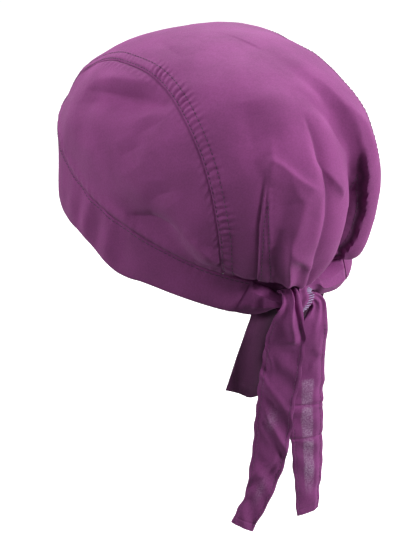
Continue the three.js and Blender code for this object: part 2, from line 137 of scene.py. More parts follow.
# back and side of the seam on the crown's unit disk
seamRows = [[-.766, .643], [-.40, .465], [-.12, .378], [.12, .360], [.38, .406], [.60, .490], [.819, .574]]
# degrees from the back, share of the tuck
tuckRows = [[0, 1], [10, .92], [19, .70], [28, .36], [36, 0]]


def planPoint(angle):
    # Headband's plan: an ellipse with narrower front corners
    taper = cap["bandFrontTaper"] * np.maximum(0, np.cos(angle)) ** 3
    return np.stack([halfWidth * (1 - taper) * np.sin(angle), -halfLength * np.cos(angle), 0 * angle], -1)


def planNormal(angle):
    ahead = planPoint(angle + 0.001) - planPoint(angle - 0.001)
    return unit(np.stack([ahead[..., 1], -ahead[..., 0], 0 * angle], -1))


def degreesFromFront(angle):
    return np.degrees(np.arccos(np.clip(np.cos(angle), -1, 1)))


def middleHeight(angle):
    return -planPoint(angle)[..., 1] * math.tan(math.radians(cap["bandPitch"]))


def bandTop(angle):
    return middleHeight(angle) + cap["bandDepth"] * readRows(bandRows, degreesFromFront(angle))[..., 0]


def bandBottom(angle):
    return middleHeight(angle) - cap["bandDepth"] * readRows(bandRows, degreesFromFront(angle))[..., 1]


def fromRim(side, back):
    return 1 - np.hypot(side, back)


def tuckDepth(angle):
    fromBack, last = 180 - degreesFromFront(angle), tuckRows[-1][0]
    share = readRows(tuckRows, np.minimum(fromBack, last))[..., 0]
    return np.where(fromBack < last, cap["napeTuck"] * share, 0)


def napePoint(angle):
    return planPoint(angle) - planNormal(angle) * tuckDepth(angle)[..., None]


def crownRow(share):
    # Equal-step cubic through crownRows; the last reach rows mirror past the top
    ghost = crownRows[-2] * [1, -1, -1, -1]
    rows = np.vstack([2 * crownRows[0] - crownRows[1], crownRows, ghost])
    place = np.clip(share, 0, 1) * (len(crownRows) - 1)
    i = np.minimum(place.astype(int), len(crownRows) - 2)
    f = (place - i)[..., None]
    a, b, c, d = rows[i], rows[i + 1], rows[i + 2], rows[i + 3]
    return 0.5 * (2 * b + f * (c - a) + f ** 2 * (2 * a - 5 * b + 4 * c - d)
                  + f ** 3 * (3 * b - a - 3 * c + d))


def smoothCrown(side, back):
    angle = np.arctan2(side, -back)
    rise, front, across, rear = np.moveaxis(crownRow(fromRim(side, back)), -1, 0)
    c = np.cos(angle)
    reach = front * np.maximum(0, c) ** 2 + rear * np.maximum(0, -c) ** 2 + across * np.sin(angle) ** 2
    p = planPoint(angle) * reach[..., None]
    p[..., 1] += cap["crownSetBack"] * rise
    p[..., 2] = bandTop(angle) * (1 - rise) + cap["crownHeight"] * rise
    return p


def surfaceNormal(surface, side, back):
    step = 0.012
    pull = np.minimum(1, (1 - 2 * step) / np.maximum(np.hypot(side, back), step))
    s, b = side * pull, back * pull
    sideways = surface(s + step, b) - surface(s - step, b)
    return unit(np.cross(sideways, surface(s, b + step) - surface(s, b - step)))


# folds
# Each fold: its widths in mm to the left and right of its line seen from outside, its sharpness (2 is a soft
# fold, 1 a crease), how dark the painted shade at its bottom lies, and its line on the disk as rows of side,
# back, depth in mm
mainFolds = [
    [19, 7, 1.5, 0, [[-.02, .16, -1], [-.07, .32, -3.5], [-.12, .45, -7], [-.18, .56, -13],
     [-.24, .66, -18], [-.26, .75, -19], [-.27, .85, -17], [-.28, .95, -15]]],
    [9.5, 12, 2, 0, [[-.46, .52, .5], [-.52, .66, 2.0], [-.53, .73, 3.5], [-.52, .78, 2.5]]],
    [8.4, 8.4, 2, 0, [[.02, .22, -.5], [.05, .48, -1.75], [.09, .85, -1.5]]],
    [9.6, 9.6, 2, 0, [[.13, .56, .8], [.20, .70, 1.5], [.18, .90, 1.2]]],
    [12, 12, 2, 0, [[.55, -.16, -1], [.45, .06, -2.5], [.40, .20, -1]]],
    [13.2, 13.2, 2, 0, [[.87, .32, -1.5], [.76, .45, -3], [.67, .62, -2]]],
    [12, 12, 2, 0, [[.62, .58, 2], [.60, .70, 4], [.56, .79, 2.5]]],
    [19.2, 19.2, 2, 0, [[.30, -.62, 1.5], [.38, -.50, 3], [.30, -.36, 2]]],
]
fineFolds = [
    # pulled up from the knot, left of the middle crease
    [5, 1.8, 1.05, 0, [[.20, .47, 0], [.20, .49, 1.8], [.18, .51, 2.4], [.16, .54, 2.6], [.14, .565, 2.4],
     [.11, .59, 1.6], [.08, .605, 0]]],
    [3.5, 3, 1.1, 0, [[.17, .42, 0], [.20, .48, 1.8], [.22, .51, 2.0], [.245, .55, 0]]],
    [4.6, 7, 1.05, 0, [[.16, .52, 0], [.168, .56, 1.2], [.162, .60, 2.0], [.15, .62, 2.2],
     [.166, .655, 2.3], [.195, .70, 2.5], [.215, .735, 2.6], [.225, .745, 2.4], [.23, .80, 2.1],
     [.22, .85, 1.8], [.215, .94, 1.4]]],
    [1.4, 1.8, 1.1, 0, [[.22, .72, 0], [.225, .745, 1.2], [.23, .80, 1.6], [.22, .85, 1.5],
     [.215, .95, 1.2]]],
    [1.8, 6, 1.1, 0, [[.225, .74, 0], [.205, .775, 2.0], [.17, .80, 2.1], [.12, .84, 1.4],
     [.09, .86, 0]]],
    [4, 4, 2, 0, [[.20, .79, 0], [.175, .84, -2.4], [.15, .89, -2.0], [.14, .95, -.8]]],
    [4, 4, 2, 0, [[.205, .56, 0], [.225, .62, -.7], [.25, .70, -.8], [.262, .78, -.7], [.26, .88, -.5]]],
    # drawn in above the knot
    [7, 7, 2, 0, [[.42, .86, 0], [.36, .90, -2.5], [.22, .95, -4], [.08, .97, -3.5], [-.05, .96, 0]]],
    # middle crease and the ridge beside it
    [1.6, 3.4, 1.1, .4, [[.03, .38, 0], [.035, .42, -1.2], [.04, .47, -1.8], [.048, .52, -2.4],
     [.044, .56, -2.5], [.048, .61, -2.4], [.06, .67, -2.0], [.067, .72, -1.8], [.083, .775, -1.9],
     [.094, .82, -2.0], [.09, .87, -2.0], [.09, .95, -1.8]]],
    [6, 3.6, 1.6, 0, [[.07, .42, 0], [.08, .52, 1.6], [.085, .60, 1.8], [.10, .68, 1.8], [.115, .74, 1.5],
     [.13, .80, 0]]],
    [2.0, 6, 1.1, 0, [[.045, .53, 0], [.04, .55, 1.4], [.013, .59, 2.4], [-.01, .615, 2.3],
     [-.025, .635, 1.4], [-.04, .65, 0]]],
    # right of the middle, down into the deep fold at the right dart
    [7, 6, 1.5, 0, [[-.01, .30, 0], [-.025, .36, -1.4], [-.075, .41, -2.4], [-.11, .46, -2.4],
     [-.14, .515, 0]]],
    [4, 8, 1.3, 0, [[-.11, .36, 0], [-.16, .40, 1.6], [-.21, .45, 2.4], [-.235, .51, 2.2],
     [-.27, .56, 0]]],
    [2.2, 7, 1.1, 0, [[-.09, .26, 0], [-.14, .38, 1.5], [-.19, .49, 2.4], [-.23, .56, 2.6],
     [-.27, .62, 2.2], [-.31, .68, 1.2], [-.34, .74, 0]]],
    [9, 9, 2, 0, [[-.50, .70, 0], [-.51, .78, -2.2], [-.50, .86, -2.8]]],
    # under the front corner of the left seam
    [8, 2.4, 1.1, 0, [[.55, -.21, 0], [.53, -.16, -1.8], [.50, -.07, -2.8], [.47, .01, -2.3],
     [.44, .07, -1.2], [.42, .11, 0]]],
    [8, 5, 1.3, 0, [[.62, -.22, 0], [.57, -.13, -1.6], [.49, .01, -2.0], [.42, .13, -1.4],
     [.385, .19, 0]]],
    [6, 5, 1.3, 0, [[.50, -.20, 0], [.45, -.08, 2.4], [.40, .04, 2.3], [.37, .10, 0]]],
    [4, 4, 1.3, 0, [[.50, -.02, 0], [.45, .09, -1.6], [.405, .17, -1.8], [.39, .21, 0]]],
    # side panel above the headband
    [8, 2.8, 1.15, 0, [[.90, .28, 0], [.85, .33, -2.0], [.77, .40, -3.0], [.72, .47, -2.6],
     [.66, .56, 0]]],
    [8, 3.4, 1.2, 0, [[.66, .54, 0], [.61, .61, 2.2], [.58, .67, 2.6], [.54, .75, 0]]],
    [9, 9, 2, 0, [[.47, .15, 0], [.49, .19, -1.8], [.52, .26, 0]]],
    [8, 8, 2, 0, [[.58, .14, 0], [.61, .18, -1.6], [.64, .24, 0]]],
    [10, 9, 2, 0, [[.60, .34, 0], [.63, .38, -1.6], [.64, .43, 0]]],
    # centre panel beside the left seam
    [7, 9, 2, 0, [[.17, .31, 0], [.19, .35, -1.8], [.22, .42, -2.2], [.26, .52, 0]]],
    [6, 3, 1.2, 0, [[.225, -.10, 0], [.23, 0, -.8], [.24, .09, 0]]],
]
# where the crown hangs over the headband and the knot: side, back, radius on the disk, drop in mm
overhangs = [[-.42, .85, .09, 5], [.10, .95, .075, 7]]
# height, size and seed of the crown's faint unevenness
crownMottle = [[0.35, 46, 3], [0.11, 18, 29]]
# Darts: stitched tucks. Side, back of the fold edge, width of the tuck in mm; the right one lies further
# inward by dartInward. The second stitch row lies dartStitchInward from the edge
dartRows = np.array([[.225, .495, 0], [.26, .541, 1.2], [.291, .592, 2.4], [.326, .653, 3.9],
                     [.349, .715, 5.3], [.368, .776, 6.5], [.380, .86, 7.4], [.388, .95, 8.2]])
dartInward = np.array([-.03, -.045, -.04, -.036, -.034, -.042, -.055, -.06])
dartStitchInward = np.array([[.023], [.039], [.045], [.055], [.068], [.08]])
# footDark, edgeDark and floorDark: strengths of the painted shade at the darts
dart = {
    "edge": 0.7, "height": 0.6, "foot": 0.7, "start": 1.6, "reach": 22,
    "firstRow": 1.6, "firstGroove": 0.3, "secondGroove": 0.5,
    "puckerLeft": 0.22, "puckerRight": 0.12, "puckerPitch": 4.1, "footDark": 0.48,
    "fall": 2.2, "fallWave": 0.5, "fallPitch": 11, "fallSpread": 7, "edgeDark": 0.5, "floorDark": 0.3,
}


def dartLine(hand):
    line = dartRows[:, :2].copy()
    if hand < 0:
        line[:, 0] += dartInward
    return line * [hand, 1]


def nearestOn(line, p):
    # Nearest place of each point on a polyline: distance, segments passed, and a vector that lies along the
    # surface normal on one side of the line and against it on the other
    near, place, offset = np.full(len(p), np.inf), np.zeros(len(p)), np.zeros((len(p), 3))
    ahead = np.zeros((len(p), 3))
    for i, (a, b) in enumerate(zip(line[:-1], line[1:])):
        t = b - a
        f = np.clip((p - a) @ t / (t @ t), 0, 1)
        away = p - a - f[:, None] * t
        d = np.linalg.norm(away, axis=1)
        closer = d < near
        near = np.where(closer, d, near)
        place = np.where(closer, i + f, place)
        offset[closer], ahead[closer] = away[closer], t
    return near, place, np.cross(ahead, offset)


def dartRelief(p, normal):
    # Left dart: a step up at the fold edge and a flat tuck that falls off past its second stitch row. Right
    # dart: the outer cloth falls over the tuck with a wavy edge. Both are sunk and puckered at the stitches.
    # Painted shade darkens the left dart's foot, the right dart's wavy edge and the tuck under it
    shape = p.shape[:-1]
    p, normal = p.reshape(-1, 3), normal.reshape(-1, 3)
    shift, shade = np.zeros(len(p)), np.zeros(len(p))
    half = dart["edge"]
    for hand in (1, -1):
        near, place, side = nearestOn(smoothCrown(*dartLine(hand).T), p)
        d = near * np.sign(np.einsum("ij,ij->i", side, normal)) * hand  # grows towards the middle of the cap
        width = np.interp(place, np.arange(len(dartRows)), dartRows[:, 2])
        rows = -dart["firstGroove"] * bump(d, dart["firstRow"], 0.7)
        rows -= dart["secondGroove"] * bump(d, width - 0.2, 0.8)
        pull = dart["puckerLeft"] if hand > 0 else dart["puckerRight"]
        pull = pull * window(d, 1.5, 4, width + 1, width + 5)
        pull *= ripple(10 * place + 0.3 * d, dart["puckerPitch"], 61 + hand)
        if hand > 0:
            step = dart["height"] * window(d, -half, half, width - 0.3, width + 3.0)
            step -= dart["foot"] * (1 - smooth(d, -half, half)) * np.exp(-np.maximum(-half - d, 0))
            dark = dart["footDark"] * bump(d, -half, 0.8)
        else:
            edge = d - dart["fallWave"] * ripple(10 * place, dart["fallPitch"], 5)
            step = dart["fall"] * (1 - smooth(edge, -0.5, 0.6))
            step = step * np.exp(-np.maximum(-d, 0) / dart["fallSpread"])
            dark = dart["edgeDark"] * bump(edge, 1.0, 1.0)
            dark += dart["floorDark"] * smooth(edge, 0, 1) * (1 - smooth(d, width + 2, width + 6))
        start = smooth(place, 0.0, dart["start"])
        shift += np.where(near < dart["reach"], start * (step + rows + pull), 0)
        # the painted shade of the dart
        shade += np.where(near < dart["reach"], start * dark, 0)
    return shift.reshape(shape), shade.reshape(shape)


def foldShift(p, normal, folds):
    # Nearest point of each fold's line; depth there times exp(-(distance / width) ** sharp). Also the painted
    # shade at the bottom of each fold that has a dark share
    shape = p.shape[:-1]
    p, normal = p.reshape(-1, 3), normal.reshape(-1, 3)
    shift, shade = np.zeros(len(p)), np.zeros(len(p))
    for left, right, sharp, dark, rows in folds:
        side, back, depths = np.array(rows, float).T
        near, place, hand = nearestOn(smoothCrown(side, back), p)
        depth = np.interp(place, np.arange(len(depths)), depths)
        width = np.where(np.einsum("ij,ij->i", hand, normal) > 0, right, left)
        blunt = 0.22 * np.minimum(width, 3)  # rounds the crest
        shift += depth * np.exp(-((np.hypot(near, blunt) - blunt) / width) ** sharp)
        shade = np.maximum(shade, dark * bump(near, 0, 1.0) * np.abs(depth) / np.abs(depths).max())
    return shift.reshape(shape), shade.reshape(shape)


def crownPoint(side, back):
    # Crown with its main folds, held against the nape by the ties: fully where the tuck is a third deep
    angle = np.arctan2(side, -back)
    rim = fromRim(side, back)
    fade = smooth(rim, 0, cap["rimStretch"])
    p = smoothCrown(side, back)
    normal = surfaceNormal(smoothCrown, side, back)
    p = p + normal * (foldShift(p, normal, mainFolds)[0] * fade)[..., None]
    held = np.minimum(1, 3 * tuckDepth(angle) / cap["napeTuck"])
    p[..., 2] -= cap["napeSag"] * held * fade * (1 - smooth(rim, cap["rimStretch"], cap["sagStretch"]))
    hold = (held * (1 - smooth(rim, cap["heldStretch"], cap["freeStretch"])))[..., None]
    nape = napePoint(angle)
    nape[..., 2] = p[..., 2]
    return p * (1 - hold) + nape * hold


def seamPlace(share):
    back = seamRows[0][0] + (seamRows[-1][0] - seamRows[0][0]) * share
    return readRows(seamRows, back)[..., 0], back


# meshes

def gridFaces(rows, columns, first=0, flip=False):
    i, j = np.meshgrid(np.arange(rows - 1), np.arange(columns - 1), indexing="ij")
    a = (first + i * columns + j).ravel()
    faces = np.stack([a, a + columns, a + columns + 1, a + 1], -1)
    return faces[:, ::-1] if flip else faces


def makeMesh(name, points, faceGroups, material, uv=None, values=None, sharp=50):
    faces = [face for group in faceGroups for face in group.tolist()]
    mesh = bpy.data.meshes.new(name)
    mesh.from_pydata((points * mm).tolist(), [], faces)
    mesh.polygons.foreach_set("use_smooth", np.ones(len(faces), bool))
    mesh.set_sharp_from_angle(angle=math.radians(sharp))
    if uv is not None:
        corner = np.zeros(len(mesh.loops), int)
        mesh.loops.foreach_get("vertex_index", corner)
        mesh.uv_layers.new(name="cloth").data.foreach_set("uv", (uv[corner] * mm).ravel())
    for key, data in (values or {}).items():
        mesh.attributes.new(key, "FLOAT", "POINT").data.foreach_set("value", data.ravel().astype(np.float32))
    mesh.materials.append(material)
    piece = bpy.data.objects.new(name, mesh)
    bpy.context.scene.collection.objects.link(piece)
    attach(piece, "root")
    return piece


def ringOf(n):
    # The numbers round the edge of a grid
    return np.concatenate([n[:-1, 0], n[-1, :-1], n[:0:-1, -1], n[0, :0:-1]])


def inward(outer, wall):
    # The wall's inner side: outer moved against its normals
    return outer - gridNormals(outer) * wall


def shell(name, outer, inner, material, uv, values=None):
    # Closed cloth wall: the outer grid, every second row and column of the inner one, and five-sided faces
    # round the edge. The grids have an odd number of rows and columns
    rows, columns = outer.shape[:2]
    inner = inner[::2, ::2]
    count, innerCount = rows * columns, inner.shape[0] * inner.shape[1]
    ring = ringOf(np.arange(count).reshape(rows, columns))
    within = ringOf(count + np.arange(innerCount).reshape(inner.shape[:2]))
    rim = np.stack([np.roll(ring, -2)[::2], ring[1::2], ring[::2], within, np.roll(within, -1)], -1)

    def both(data):
        return np.concatenate([data.reshape(count, -1), data[::2, ::2].reshape(innerCount, -1)])

    points = np.concatenate([outer.reshape(-1, 3), inner.reshape(-1, 3)])
    faceGroups = [gridFaces(rows, columns), gridFaces(*inner.shape[:2], count, True), rim]
    values = {key: both(data) for key, data in (values or {}).items()}
    return makeMesh(name, points, faceGroups, material, both(uv), values)


def readLine(at, run, line):
    # A line of points read at the distances in at
    return np.stack([np.interp(at, run, line[:, k]) for k in range(3)], -1)


def stitches(name, lines, material, pitch=2.9, length=2.3, thick=0.42, lift=0.1):
    # A row of short threads along each line: a capsule per stitch, its ends dipping in
    points, faceGroups, total = [], [], 0
    sides, rings = 6, 7
    turn = np.linspace(0, 2 * np.pi, sides + 1)[:-1][None, None, :, None]
    part = np.linspace(-1, 1, rings)
    for line, normal in lines:
        run = along(line)
        count = int(run[-1] / pitch)
        if count < 1:
            continue
        at = ((np.arange(count) + 0.5) * run[-1] / count)[:, None] + part * length / 2
        place, up = readLine(at, run, line), unit(readLine(at, run, normal))
        ahead = unit(place[:, -1] - place[:, 0])[:, None]
        across = unit(np.cross(up, ahead))
        place = place + up * (lift + thick * 0.5 * (1 - 2.2 * np.abs(part) ** 3))[:, None]
        radius = thick / 2 * np.sqrt(np.maximum(0.06, 1 - np.abs(part) ** 6))[None, :, None, None]
        circle = across[:, :, None] * np.cos(turn) + up[:, :, None] * np.sin(turn)
        points.append((place[:, :, None] + circle * radius).reshape(-1, 3))
        i, j, k = np.meshgrid(np.arange(count), np.arange(rings - 1), np.arange(sides), indexing="ij")
        a = total + (i * rings + j) * sides + k
        b = total + (i * rings + j) * sides + (k + 1) % sides
        faceGroups.append(np.stack([a + sides, b + sides, b, a], -1).reshape(-1, 4))
        total += count * rings * sides
    makeMesh(name, np.concatenate(points), faceGroups, material, sharp=180)


def lineOnGrid(p, normal, distance, target):
    # Line across the rows of a grid where a running distance along each row reaches target
    place = np.array([readLine(target, d, row) for d, row in zip(distance, p)])
    up = np.array([readLine(target, d, row) for d, row in zip(distance, normal)])
    return place, unit(up)


# materials

cotton = {
    "shader": {"Roughness": 0.8, "Specular IOR Level": 0.28, "Sheen Roughness": 0.45,
               "Sheen Tint": (0.86, 0.62, 0.84, 1)},
    "patches": 38, "dark": 0.80, "light": 1.16,  # noise scale, shares of the colour
    "grain": 1100, "grainShare": 0.16, "grainDark": 0.3, "grainLight": 0.72,
    "throughDark": (0.30, 0.13, 0.29), "throughLight": (0.66, 0.48, 0.68),  # painted light of the backdrop through the single cloth
    "threads": 640, "threadWave": 1.5, "threadWaveScale": 300, "threadHeight": 0.00012,
    "slub": 260, "slubHeight": 0.0006, "relief": 0.35,
}
thread = {"Roughness": 0.6, "Sheen Weight": 0.05}
threadNoise = {"scale": 500, "dark": 0.75, "light": 1.2}


def setInputs(node, values):
    # A socket is linked, a number or colour is set
    for key, value in values.items():
        if isinstance(value, bpy.types.NodeSocket):
            node.id_data.links.new(value, node.inputs[key])
        else:
            node.inputs[key].default_value = value


def addNode(mat, kind, values=None):
    node = mat.node_tree.nodes.new("ShaderNode" + kind)
    setInputs(node, values or {})
    return node


def noise(mat, scale, detail):
    place = addNode(mat, "TexCoord").outputs["Object"]
    return addNode(mat, "TexNoise", {"Vector": place, "Scale": scale, "Detail": detail}).outputs["Fac"]


def spread(mat, value, low, high, fromLow=0.35, fromHigh=0.65):
    # The stretch from fromLow to fromHigh becomes low to high
    return addNode(mat, "MapRange", {"Value": value, "From Min": fromLow, "From Max": fromHigh,
                                     "To Min": low, "To Max": high}).outputs["Result"]


def blend(mat, kind, factor, a, b):
    m = addNode(mat, "Mix")
    m.data_type, m.blend_type = "RGBA", kind
    setInputs(m, {0: factor, 6: a, 7: b})
    return m.outputs[2]


def attribute(mat, key):
    n = addNode(mat, "Attribute")
    n.attribute_name = key
    return n.outputs["Fac"]


def opaque(colour):
    return tuple(colour) + (1.0,)


def newMaterial(name):
    mat = bpy.data.materials.new(name)
    mat.use_nodes = True
    return mat, mat.node_tree.nodes["Principled BSDF"]


def cottonMaterial(name, colour, sheen=0.1, thin=False, shade=None):
    mat, shader = newMaterial(name)
    # colour: cloth, a little uneven in large patches, with a grain of single threads
    dark, light = opaque(c * cotton["dark"] for c in colour), opaque(c * cotton["light"] for c in colour)
    base = blend(mat, "MIX", spread(mat, noise(mat, cotton["patches"], 3), 0.2, 0.8), dark, light)
    grain = blend(mat, "MIX", spread(mat, noise(mat, cotton["grain"], 2), 0, 1),
                  opaque([cotton["grainDark"]] * 3), opaque([cotton["grainLight"]] * 3))
    base = blend(mat, "OVERLAY", cotton["grainShare"], base, grain)
    # painted shade: the colour darkened by the shade attribute
    if shade:
        base = blend(mat, "MULTIPLY", attribute(mat, "shade"), base, opaque(shade))
    if thin:  # painted light: where the cloth lies single, a paler colour stands for the light background showing through it
        through = blend(mat, "MIX", spread(mat, noise(mat, cotton["grain"], 3), 0, 1, 0.36, 0.64),
                        opaque(cotton["throughDark"]), opaque(cotton["throughLight"]))
        base = blend(mat, "MIX", attribute(mat, "thin"), base, through)

    # relief: crossing threads on the cloth's own map, over a faint slub
    uv = addNode(mat, "UVMap")
    uv.uv_map = "cloth"
    threads = addNode(mat, "Math")
    for i, turn in enumerate((0, 90)):
        place = addNode(mat, "Mapping", {"Vector": uv.outputs["UV"]})
        place.inputs["Rotation"].default_value[2] = math.radians(turn)
        wave = addNode(mat, "TexWave", {"Vector": place.outputs["Vector"], "Scale": cotton["threads"],
                                        "Distortion": cotton["threadWave"],
                                        "Detail Scale": cotton["threadWaveScale"]})
        setInputs(threads, {i: wave.outputs["Fac"]})
    relief = addNode(mat, "Bump", {"Strength": cotton["relief"], "Distance": cotton["threadHeight"],
                                   "Height": threads.outputs[0]})
    slub = addNode(mat, "Bump", {"Strength": cotton["relief"], "Distance": cotton["slubHeight"],
                                 "Height": noise(mat, cotton["slub"], 4), "Normal": relief.outputs["Normal"]})
    setInputs(shader, cotton["shader"] | {"Sheen Weight": sheen, "Base Color": base,
                                          "Normal": slub.outputs["Normal"]})
    return mat


def threadMaterial(name, colour):
    mat, shader = newMaterial(name)
    uneven = spread(mat, noise(mat, threadNoise["scale"], 2), threadNoise["dark"], threadNoise["light"], 0, 1)
    setInputs(shader, thread | {"Base Color": blend(mat, "MULTIPLY", 1.0, opaque(colour), uneven)})
    return mat


colours = {
    "crown": (0.300, 0.062, 0.240),
    "band": (0.270, 0.054, 0.215),
    # the ties are the crown's cotton, their colour set darker as painted shade
    "tie": (0.262, 0.052, 0.212),
    "stitch": (0.075, 0.022, 0.075),
    "overlock": (0.52, 0.42, 0.66),
    "edge": (0.20, 0.055, 0.175),
    "shade": (0.12, 0.11, 0.12),   # painted shade: what the cloth's colour is multiplied by where the shade attribute is full
}
crownCotton = cottonMaterial("crown_cotton", colours["crown"], shade=colours["shade"])
bandCotton = cottonMaterial("band_cotton", colours["band"], sheen=0.04)
tieCotton = cottonMaterial("tie_cotton", colours["tie"], thin=True)
stitchThread = threadMaterial("stitch_thread", colours["stitch"])
overlockThread = threadMaterial("overlock_thread", colours["overlock"])
edgeThread = threadMaterial("edge_thread", colours["edge"])
print("materials")


# centre panel

centre = {
    "rows": 399, "columns": 197, "wall": 1.0,
    "fellWidth": 7.6, "fellHeight": 0.4,  # felled strip along both seams
    "firstRow": 1.2, "secondRow": 6.9,    # stitch rows from the seam's edge
    "groove": 0.42, "edgeDrop": 0.5, "edgeWave": 0.22, "edgePitch": 2.7,
    "pucker": 1.0, "puckerPitch": 4.0, "puckerReach": 13, "strengthPitch": 27,
    "fullAt": 0.62, "fullSpread": 0.15,   # share of the seam where the puckers are strongest
    "pullLeft": 1.0, "pullRight": 0.25,
}
# how far the cloth is carried on behind the headband's top edge: inward, down
tuckedFar, tuckedNear = (2.0, 2.2), (1.2, 2.0)


def centrePlace(across, share):
    # The panel on the disk: columns keep their share of the half width, front and back edge are arcs
    side, back = seamPlace(share)
    front, rear = math.radians(cap["frontCorner"]), math.radians(cap["backCorner"])
    frontArc = math.cos(front) - np.sqrt(1 - (across * math.sin(front)) ** 2)
    backArc = math.cos(rear) + np.sqrt(1 - (across * math.sin(rear)) ** 2)
    return across * side, back + (1 - share) * frontArc + share * backArc


def wallDirection(side, back):
    # Normal of the crown, level at its rim
    angle = np.arctan2(side, -back)
    level = np.clip(1 - fromRim(side, back) / (cap["rimStretch"] / 2), 0, 1)[..., None]
    return unit(surfaceNormal(crownPoint, side, back) * (1 - level) + planNormal(angle) * level)


def dressed(side, back):
    # Crown with the small folds, the darts, a faint unevenness and the overhangs; small folds fade to a
    # quarter at the rim. Gives the points, their directions and the painted shade of the creases and darts
    p, normal = crownPoint(side, back), wallDirection(side, back)
    rim = fromRim(side, back)
    q = smoothCrown(side, back)
    outward = surfaceNormal(smoothCrown, side, back)
    # creases: the painted shade at the fold bottoms
    folds, creases = foldShift(q, outward, fineFolds)
    darts, dartShade = dartRelief(q, outward)
    uneven = sum(height * mottle(p, size, seed) for height, size, seed in crownMottle)
    shift = (folds + darts) * (0.25 + 0.75 * smooth(rim, 0, 0.06)) + uneven * smooth(rim, 0, 0.15)
    p = p + normal * shift[..., None]
    for atSide, atBack, radius, drop in overhangs:
        near = bump(np.hypot(side - atSide, back - atBack), 0, radius)
        p[..., 2] -= drop * near * smooth(rim, 0, 0.03)
    return p, normal, np.clip(creases + dartShade, 0, 1)


def onCrown(side, back):
    # Places of a line on the finished crown, with their normals from two small steps on the disk
    step = 0.004
    p = dressed(side, back)[0]
    return p, unit(np.cross(dressed(side + step, back)[0] - p, dressed(side, back + step)[0] - p))


def tucked(p, normal, far):
    # An edge carried on inward and down
    return p - normal * far[0] - [0, 0, far[1]]


def seamRelief(distance, run, seed, pull):
    # Raised felled strip with two sunken stitch rows and the puckers that the thread pulls across it: a wave
    # along the seam with slanted, uneven crests, full between the rows and gone at puckerReach
    c = centre
    lift = c["fellHeight"] * (1 - smooth(distance, c["fellWidth"] - 0.6, c["fellWidth"] + 1.0))
    lift -= c["groove"] * (bump(distance, c["firstRow"], 0.8) + 0.9 * bump(distance, c["secondRow"], 0.9))
    lift -= c["edgeDrop"] * bump(distance, 0, 0.7)
    between = window(distance, 0.3, 1.8, 7.5, c["puckerReach"]) * (1 - 0.4 * smooth(distance, 6.0, 7.5))
    strength = 0.55 + 0.45 * smooth(ripple(run, c["strengthPitch"], seed + 5), -0.6, 0.6)
    strength *= 0.5 + 0.5 * bump(run / run.max(), c["fullAt"], c["fullSpread"])
    wave = ripple(run + 0.3 * distance + 0.5 * np.sin(distance / 2.2), c["puckerPitch"], seed)
    lift -= c["pucker"] * pull * between * strength * (0.6 * wave + 0.5 * np.maximum(wave, 0) ** 2)
    return lift + c["edgeWave"] * bump(distance, 0.2, 1.0) * ripple(run, c["edgePitch"], seed + 1)


def makeCentrePanel():
    # columns crowd towards the seams, where the relief is finest
    s = np.linspace(-1, 1, centre["columns"])
    columns = 0.75 * s + 0.25 * np.sin(s * np.pi / 2)
    share, across = np.meshgrid(np.linspace(0, 1, centre["rows"]), columns, indexing="ij")
    p, normal, shade = dressed(*centrePlace(across, share))
    run = along(p)
    left, right = run[:, -1:] - run, run
    lift = seamRelief(left, alongColumn(p, -1), 11, centre["pullLeft"])
    lift += seamRelief(right, alongColumn(p, 0), 23, centre["pullRight"])
    p = p + normal * lift[..., None]
    uv = np.stack([run - run[:, -1:] / 2, alongColumn(p, centre["columns"] // 2)], -1)
    # one more row tucked behind the top edge of the headband at both ends
    p = np.concatenate([tucked(p[:1], normal[:1], tuckedFar), p, tucked(p[-1:], normal[-1:], tuckedNear)])
    uv = np.concatenate([uv[:1], uv, uv[-1:]])[:, ::-1]
    shade = np.concatenate([shade[:1], shade, shade[-1:]])[:, ::-1]
    outer = p[:, ::-1]
    piece = shell("centre_panel_cloth", outer, inward(outer, centre["wall"]), crownCotton, uv,
                  {"shade": shade})
    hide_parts("centre_panel")
    return p[1:-1], gridNormals(outer)[1:-1, ::-1], left, right


centreGrid, centreNormal, fromLeft, fromRight = makeCentrePanel()
print("centre panel", centreGrid.shape)


def makeCentreStitches():
    lines = []
    for distance, step in ((fromLeft, -1), (fromRight, 1)):
        # the last rows lie behind the headband
        grid, normal, gone = centreGrid[:-6, ::step], centreNormal[:-6, ::step], distance[:-6, ::step]
        for target in (centre["firstRow"], centre["secondRow"]):
            lines.append(lineOnGrid(grid, normal, gone, target))
    stitches("seam_stitches", lines, stitchThread, pitch=2.7, length=2.0, thick=0.42)
    lines = []
    t = np.linspace(0, 1, 160)
    for hand in (1, -1):
        fold = dartLine(hand)[2:]
        for row in (fold + [-.014 * hand, .006], fold - dartStitchInward * [hand, .3]):
            at = readRows(np.column_stack([np.linspace(0, 1, len(row)), row]), t)
            lines.append(onCrown(at[:, 0], at[:, 1]))
    stitches("dart_stitches", lines, stitchThread, pitch=2.6, length=2.0, thick=0.36)


makeCentreStitches()


# tail
# share of the way down, reach to the left and right as shares of the half width at the crown
tailRows = [[0, 1, 1], [.17, .95, .72], [.30, .87, .53], [.50, .96, .46], [.72, 1.07, .43], [1, 1.19, .41]]
# the foot's edge: drop in mm, place and width as shares of the half width
tailFoot = [[2.2, 0.76, 0.1], [-1.8, 0.57, 0.06]]
# dark and darkRight: strengths of the tail's painted shadow
tail = {
    "rows": 151, "columns": 91, "wall": 0.9, "halfWide": 38, "fold": 1.5, "smallFold": 0.9,
    "sideHem": 5.4, "footHem": 6.2, "hemHeight": 0.35, "groove": 0.25, "hemWave": 0.16, "stitchColumn": 7,
    "dark": 0.74, "darkRight": 0.24,
}


